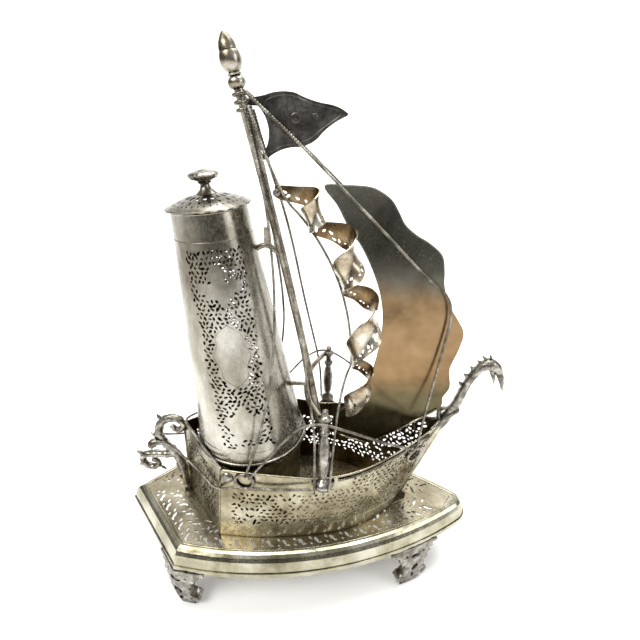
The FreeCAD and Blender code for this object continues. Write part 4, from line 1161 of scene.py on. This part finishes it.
def buildFestoon(p):
    for k, (a, b) in enumerate(zip(p["knots"], p["knots"][1:])):
        a, b, radius, wide = Vector(a), Vector(b), p["radii"][k], p["wide"][k]
        length = math.hypot(math.tau * radius * 0.9, a.z - b.z)

        def half(u, wide=wide, length=length):
            return (p["narrow"] + (wide - p["narrow"]) * math.sin(math.pi * max(0,
                min(1, u / length)) ** 1.35) ** 0.7) / 2

        def edge(u, turn):
            return half(u) + 0.8 * math.sin(u / 3.6 + turn)

        steps = [length * i / 48 for i in range(49)]
        outline = [(u, -edge(u, 0.4)) for u in steps] + [(u, edge(u, 1.9)) for u in reversed(steps)]
        rng = random.Random(50 + k)

        def allowed(u, v, length=length):
            return 5 < u < length - 5 and half(u) - 5.6 < -v < half(u) - 2.4

        holes = fieldOfHoles(rng, allowed, (0, -wide / 2), (length, wide / 2), 3.7, 2.5)

        def spot(t, a=a, b=b, radius=radius):
            # nearly level behind the stay, then down across its front
            angle = math.pi - math.tau * t ** 0.85
            middle = a.lerp(b, t)
            drop = a.z + (b.z - a.z) * t ** 1.6
            deep = 0.5 if math.sin(angle) > 0 else 0.95
            at = Vector((middle.x + radius * (1 + math.cos(angle)),
                middle.y + deep * radius * math.sin(angle), drop))
            return at, Vector((math.cos(angle), math.sin(angle), 0))

        def place(u, v, length=length, spot=spot):
            t = min(max(u / length, 0.002), 0.998)
            at, away = spot(t)
            way = (spot(t + 0.002)[0] - spot(t - 0.002)[0]).normalized()
            across = way.cross(away).normalized()
            at = at + across * v + away * (0.9 * (v / 9) ** 2)
            return mm(*at)

        replaced = ("festoon",) if k == 0 else ()
        piece = piercedSheet(f"festoonWave_{k}", outline, holes, place, p["sheet"], 3.0, "festoon",
            nodes=replaced, slot="silver_sheet")
        middle = a.lerp(b, 0.5)
        lineInside(piece, mm(middle.x + radius, middle.y, middle.z), "festoonInside")


metals["festoonInside"] = makeSilver("festoonInsideSilver", {
    "dark": (0.10, 0.06, 0.025), "mid": (0.27, 0.18, 0.09), "light": (0.46, 0.36, 0.22), "patch": 14,
    "grain": 0.6, "wave": 10,
    "smooth": 0.2, "rough": 0.45})
buildFestoon(festoonSet)

# Sail and flag

sailSet = {
    "edge": [
        (194.8, 333.2), (202.5, 330.6), (209.8, 325.6), (214.7, 318.6), (219.1, 311.5), (227.4, 305.0),
        (236.3, 300.2),
        (245.0, 292.8), (247.6, 282.3), (248.8, 272.1), (254.1, 258.7), (262.2, 246.8), (267.3, 237.4),
        (265.8, 224.4),
        (261.9, 208.0), (264.8, 191.1), (261.1, 181.2), (260.0, 169.0), (237.0, 150.0), (214.0, 130.6),
        (206.0, 126.0),
        (194.0, 130.0), (183.0, 134.0), (178.0, 147.0), (183.0, 162.0), (196.7, 178.7), (204.9, 200.9),
        (208.5, 220.5),
        (210.2, 243.1), (208.0, 261.5), (202.1, 278.6), (193.1, 295.8), (183.4, 308.5), (175.7, 321.5),
        (167.0, 332.4),
        (181.0, 333.4),
    ],
    "centre": (222.0, 408.0, 232.0), "radius": 420.0, "sheet": 0.8,
    "hems": [[(183.5, 134.6), (195.0, 130.6), (206.5, 127.0)],
    [(217.0, 134.0), (237.0, 150.6), (259.0, 169.0)]],
}
flagLine = [(133.0, 380.4), (141.0, 382.6), (149.0, 382.2), (158.0, 379.0), (168.0, 377.0), (175.6, 374.2),
    (165.0, 366.0), (157.0, 359.8),
            (149.0, 357.2), (139.6, 355.0), (132.4, 351.6), (134.8, 363.8), (130.4, 375.6)]


def sailPoint(p, x, z, out=0.0):
    cx, cy, cz = p["centre"]
    return mm(x, cy - math.sqrt((p["radius"] + out) ** 2 - (x - cx) ** 2 - (z - cz) ** 2), z)


def rounded(points, count=6):
    loop = points[-1:] + points + points[:2]
    return [tuple(along(loop, i + 1 + k / count)) for i in range(len(points)) for k in range(count)]


def buildSail(p):
    outline = rounded(p["edge"], 5)
    piece = piercedSheet("sailSheet", outline, [], lambda u, v: sailPoint(p, u, v), p["sheet"], 5.0, "sail",
        nodes=("sail",), slot="silver_sheet")
    piece.data.materials.append(metals["sail"])
    wireTube("sailEdge", [sailPoint(p, x, z) for x, z in outline], 0.55, "sail", closed=True,
        slot="silver_smooth")
    for k, line in enumerate(p["hems"]):
        wireTube(f"sailHem_{k}", [sailPoint(p, x, z, 0.9) for x, z in line], 0.9, "moulding",
            slot="silver_smooth")


def buildFlagLines():
    for name, side in sides.items():
        wireTube(f"flagLine_{name}", [mm(x, side * 0.4, z) for x, z in rounded(flagLine, 4)], 0.26, "flag",
            closed=True, ring=6, slot="silver_dark")
        for k, (x, z, size) in enumerate(((149.0, 371.0, 3.0), (146.0, 362.0, 2.0), (160.0, 372.0, 2.0))):
            dome = [(size, 0.0), (size * 0.8, 0.35), (size * 0.4, 0.3), (size * 0.35, 0.6), (0.01, 0.8)]
            turnedPiece(f"flagBoss{k}_{name}", dome, lambda a, b, c, x=x, z=z,
                side=side: mm(x + a, side * (0.38 + c), z + b), "flag", slot="silver_dark", ring=24)


buildSail(sailSet)
buildFlagLines()

# Ropes

ropeSet = {
    "radius": 1.1,
    "both": {
        "quarter_stay": [(119.0, 5.0, 381.0), (125.0, 6.2, 352.0), (130.5, 6.6, 324.0), (133.0, 7.4, 296.0),
        (135.5, 14.0, 272.0),
                         (136.5, 22.0, 248.0), (136.0, 31.0, 222.0), (132.0, 40.0, 192.0),
                         (125.0, 48.0, 160.0), (116.0, 51.8, 136.0)],
        "guard_rope": [(119.0, 52.0, 135.0), (141.0, 50.8, 165.0), (154.0, 49.4, 181.0),
        (168.5, 50.6, 187.0), (184.0, 48.4, 180.5),
                       (204.0, 41.6, 168.0), (224.0, 32.0, 153.0), (241.0, 23.6, 143.0)],
        "waist_line": [(121.0, 51.0, 125.0), (136.0, 50.6, 123.4), (151.0, 50.4, 124.4),
        (163.4, 50.2, 124.6)],
        "forestay": [(120.0, 4.6, 384.0), (137.0, 3.0, 370.0), (153.0, 3.4, 356.0), (179.0, 6.0, 332.0),
        (207.0, 12.0, 307.0), (236.0, 14.6, 279.0),
                     (252.0, 15.6, 268.0), (256.0, 15.0, 252.0), (253.0, 15.4, 226.0), (250.0, 17.4, 198.0),
                     (246.0, 20.0, 170.0), (243.6, 22.6, 144.0)],
    },
    "shroud": {
        "starboard": [(123.5, 2.8, 374.5), (131.0, 4.2, 336.0), (140.0, 7.4, 299.0), (147.0, 9.4, 263.0),
        (155.0, 20.0, 223.0), (161.4, 36.0, 194.0),
                      (165.8, 47.6, 174.0), (166.4, 54.6, 151.0), (166.4, 57.0, 131.0)],
        "port": [(123.5, 3.6, 374.5), (131.0, 4.4, 346.0), (139.6, 9.0, 318.0), (146.0, 16.4, 286.0),
        (151.0, 26.0, 252.0), (157.6, 37.0, 214.0),
                 (164.0, 47.4, 178.0), (166.0, 54.4, 152.0), (166.4, 57.0, 131.0)],
    },
    "round": {
        "stern_line": [(107.0, 51.6, 126.0), (94.4, 49.6, 118.0), (78.0, 31.0, 116.0), (58.0, 14.6, 118.0),
        (40.0, 5.6, 122.6), (30.2, 4.4, 124.6)],
        "corner_line": [(97.4, 46.4, 138.6), (83.0, 30.6, 140.4), (69.0, 15.0, 142.8), (58.6, 3.4, 144.4)],
        "bow_line": [(247.0, 20.4, 142.0), (257.0, 12.8, 151.0), (268.4, 5.4, 161.4), (278.0, 4.2, 165.4)],
    },
    "festoon_stay": [(122.2, -5.6, 376.5), (137.0, -6.2, 330.0), (159.0, -6.0, 309.0), (182.0, -6.0, 267.0),
    (191.5, -7.0, 212.0), (186.0, -15.0, 202.0),
                     (182.0, -29.0, 188.0), (179.6, -43.0, 172.0), (178.4, -53.0, 153.0),
                     (177.2, -58.6, 132.6)],
}


def mirrored(points, side):
    return [(x, y * side, z) for x, y, z in points]


def buildRopes(p):
    for name, side in sides.items():
        for label, points in p["both"].items():
            twistedWire(f"{label}Wire_{name}", mirrored(points, side), p["radius"],
                nodes=(f"{label}_{name}",))
        twistedWire(f"shroudWire_{name}", mirrored(p["shroud"][name], side), p["radius"],
            nodes=(f"shroud_{name}",))
        rail = []
        for station in range(184, 264, 8):
            z = stepped(hullSet["sheer"], station) - 2.6
            t = min((abs(hullAt(hullSet, i / 20, z)[0] - station), i / 20) for i in range(161))[1]
            rail.append((station, side * (hullAt(hullSet, t, z)[1] + 1.0), z))
        twistedWire(f"gunwaleWire_{name}", rail, 1.0, nodes=(f"gunwale_rope_{name}",))
    for label, half in p["round"].items():
        twistedWire(f"{label}Wire", mirrored(half, -1) + list(reversed(half)), p["radius"], nodes=(label,))
    twistedWire("festoonStayWire", p["festoon_stay"], p["radius"], nodes=("festoon_stay",))


buildRopes(ropeSet)
print("ropes laid")

# Metals for the pieces that stay as they are

for name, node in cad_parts.items():
    if name in castNodes:
        metal = castNodes[name]
    elif "ring" in name:
        metal = "wire"
    else:
        metal = "cast"
    node.data.materials.clear()
    node.data.materials.append(metals[metal])

# Floor and light

stageSet = {"floor": (0.90, 0.90, 0.89), "half": 3.0, "wallAt": 1.6, "wallTop": 3.2, "bend": 0.8}


def buildStage(p):
    rows = [(-p["half"], 0.0), (p["wallAt"] - p["bend"], 0.0)]
    rows += [(p["wallAt"] - p["bend"] + p["bend"] * math.sin(math.pi / 2 * i / 12),
        p["bend"] - p["bend"] * math.cos(math.pi / 2 * i / 12))
             for i in range(1, 13)]
    rows.append((p["wallAt"], p["wallTop"]))
    verts = [Vector((x, y, z)) for y, z in rows for x in (-p["half"], p["half"])]
    faces = [(2 * i, 2 * i + 1, 2 * i + 3, 2 * i + 2) for i in range(len(rows) - 1)]
    mesh = bpy.data.meshes.new("studioFloor")
    mesh.from_pydata([tuple(v) for v in verts], [], faces)
    for polygon in mesh.polygons:
        polygon.use_smooth = True
    paper = bpy.data.materials.new("studioPaper")
    paper.use_nodes = True
    tree = paper.node_tree
    shader = tree.nodes["Principled BSDF"]
    shader.inputs["Roughness"].default_value = 0.85
    grain = tree.nodes.new("ShaderNodeTexNoise")
    grain.inputs["Scale"].default_value = 3
    tone = ramp(tree, [(0.3, tuple(c * 0.985 for c in p["floor"])), (0.7, p["floor"])])
    link(tree, grain, "Fac", tone, "Fac")
    link(tree, tone, "Color", shader, "Base Color")
    mesh.materials.append(paper)
    floor = bpy.data.objects.new("studioFloor", mesh)
    bpy.context.scene.collection.objects.link(floor)


def addLight(name, place, target, size, power, colour):
    data = bpy.data.lights.new(name, "AREA")
    data.shape = "RECTANGLE"
    data.size, data.size_y = size
    data.energy = power
    data.color = colour
    light = bpy.data.objects.new(name, data)
    light.location = place
    light.rotation_euler = (Vector(target) - Vector(place)).to_track_quat("-Z", "Y").to_euler()
    bpy.context.scene.collection.objects.link(light)


def buildLight():
    addLight("keyLight", (-0.9, -0.9, 1.5), (0, 0, 0.2), (1.0, 0.8), 26, (1.0, 0.98, 0.95))
    addLight("fillLight", (1.5, -0.7, 0.9), (0, 0, 0.2), (0.7, 1.2), 10, (0.97, 0.98, 1.0))
    addLight("topLight", (0.1, 0.5, 1.7), (0, 0, 0.1), (1.4, 1.0), 24, (1, 1, 1))
    addLight("wallLight", (0.0, 0.0, 2.4), (0, 1.6, 1.0), (2.4, 0.6), 40, (1, 1, 1))
    world = bpy.data.worlds.new("studioWorld")
    bpy.context.scene.world = world
    world.use_nodes = True
    tree = world.node_tree
    back = tree.nodes["Background"]
    where = tree.nodes.new("ShaderNodeTexCoord")
    parts = tree.nodes.new("ShaderNodeSeparateXYZ")
    link(tree, where, "Generated", parts, "Vector")
    span = tree.nodes.new("ShaderNodeMapRange")
    span.inputs["From Min"].default_value = -1
    link(tree, parts, "Z", span, "Value")
    tone = ramp(tree, [(0.0, (0.5, 0.49, 0.47)), (0.46, (0.12, 0.115, 0.105)), (0.56, (0.16, 0.16, 0.155)),
        (0.72, (0.8, 0.8, 0.8)), (1.0, (1, 1, 1))])
    link(tree, span, "Result", tone, "Fac")
    link(tree, tone, "Color", back, "Color")
    back.inputs["Strength"].default_value = 0.75
    bpy.context.scene.view_settings.view_transform = "Standard"


buildStage(stageSet)
buildLight()
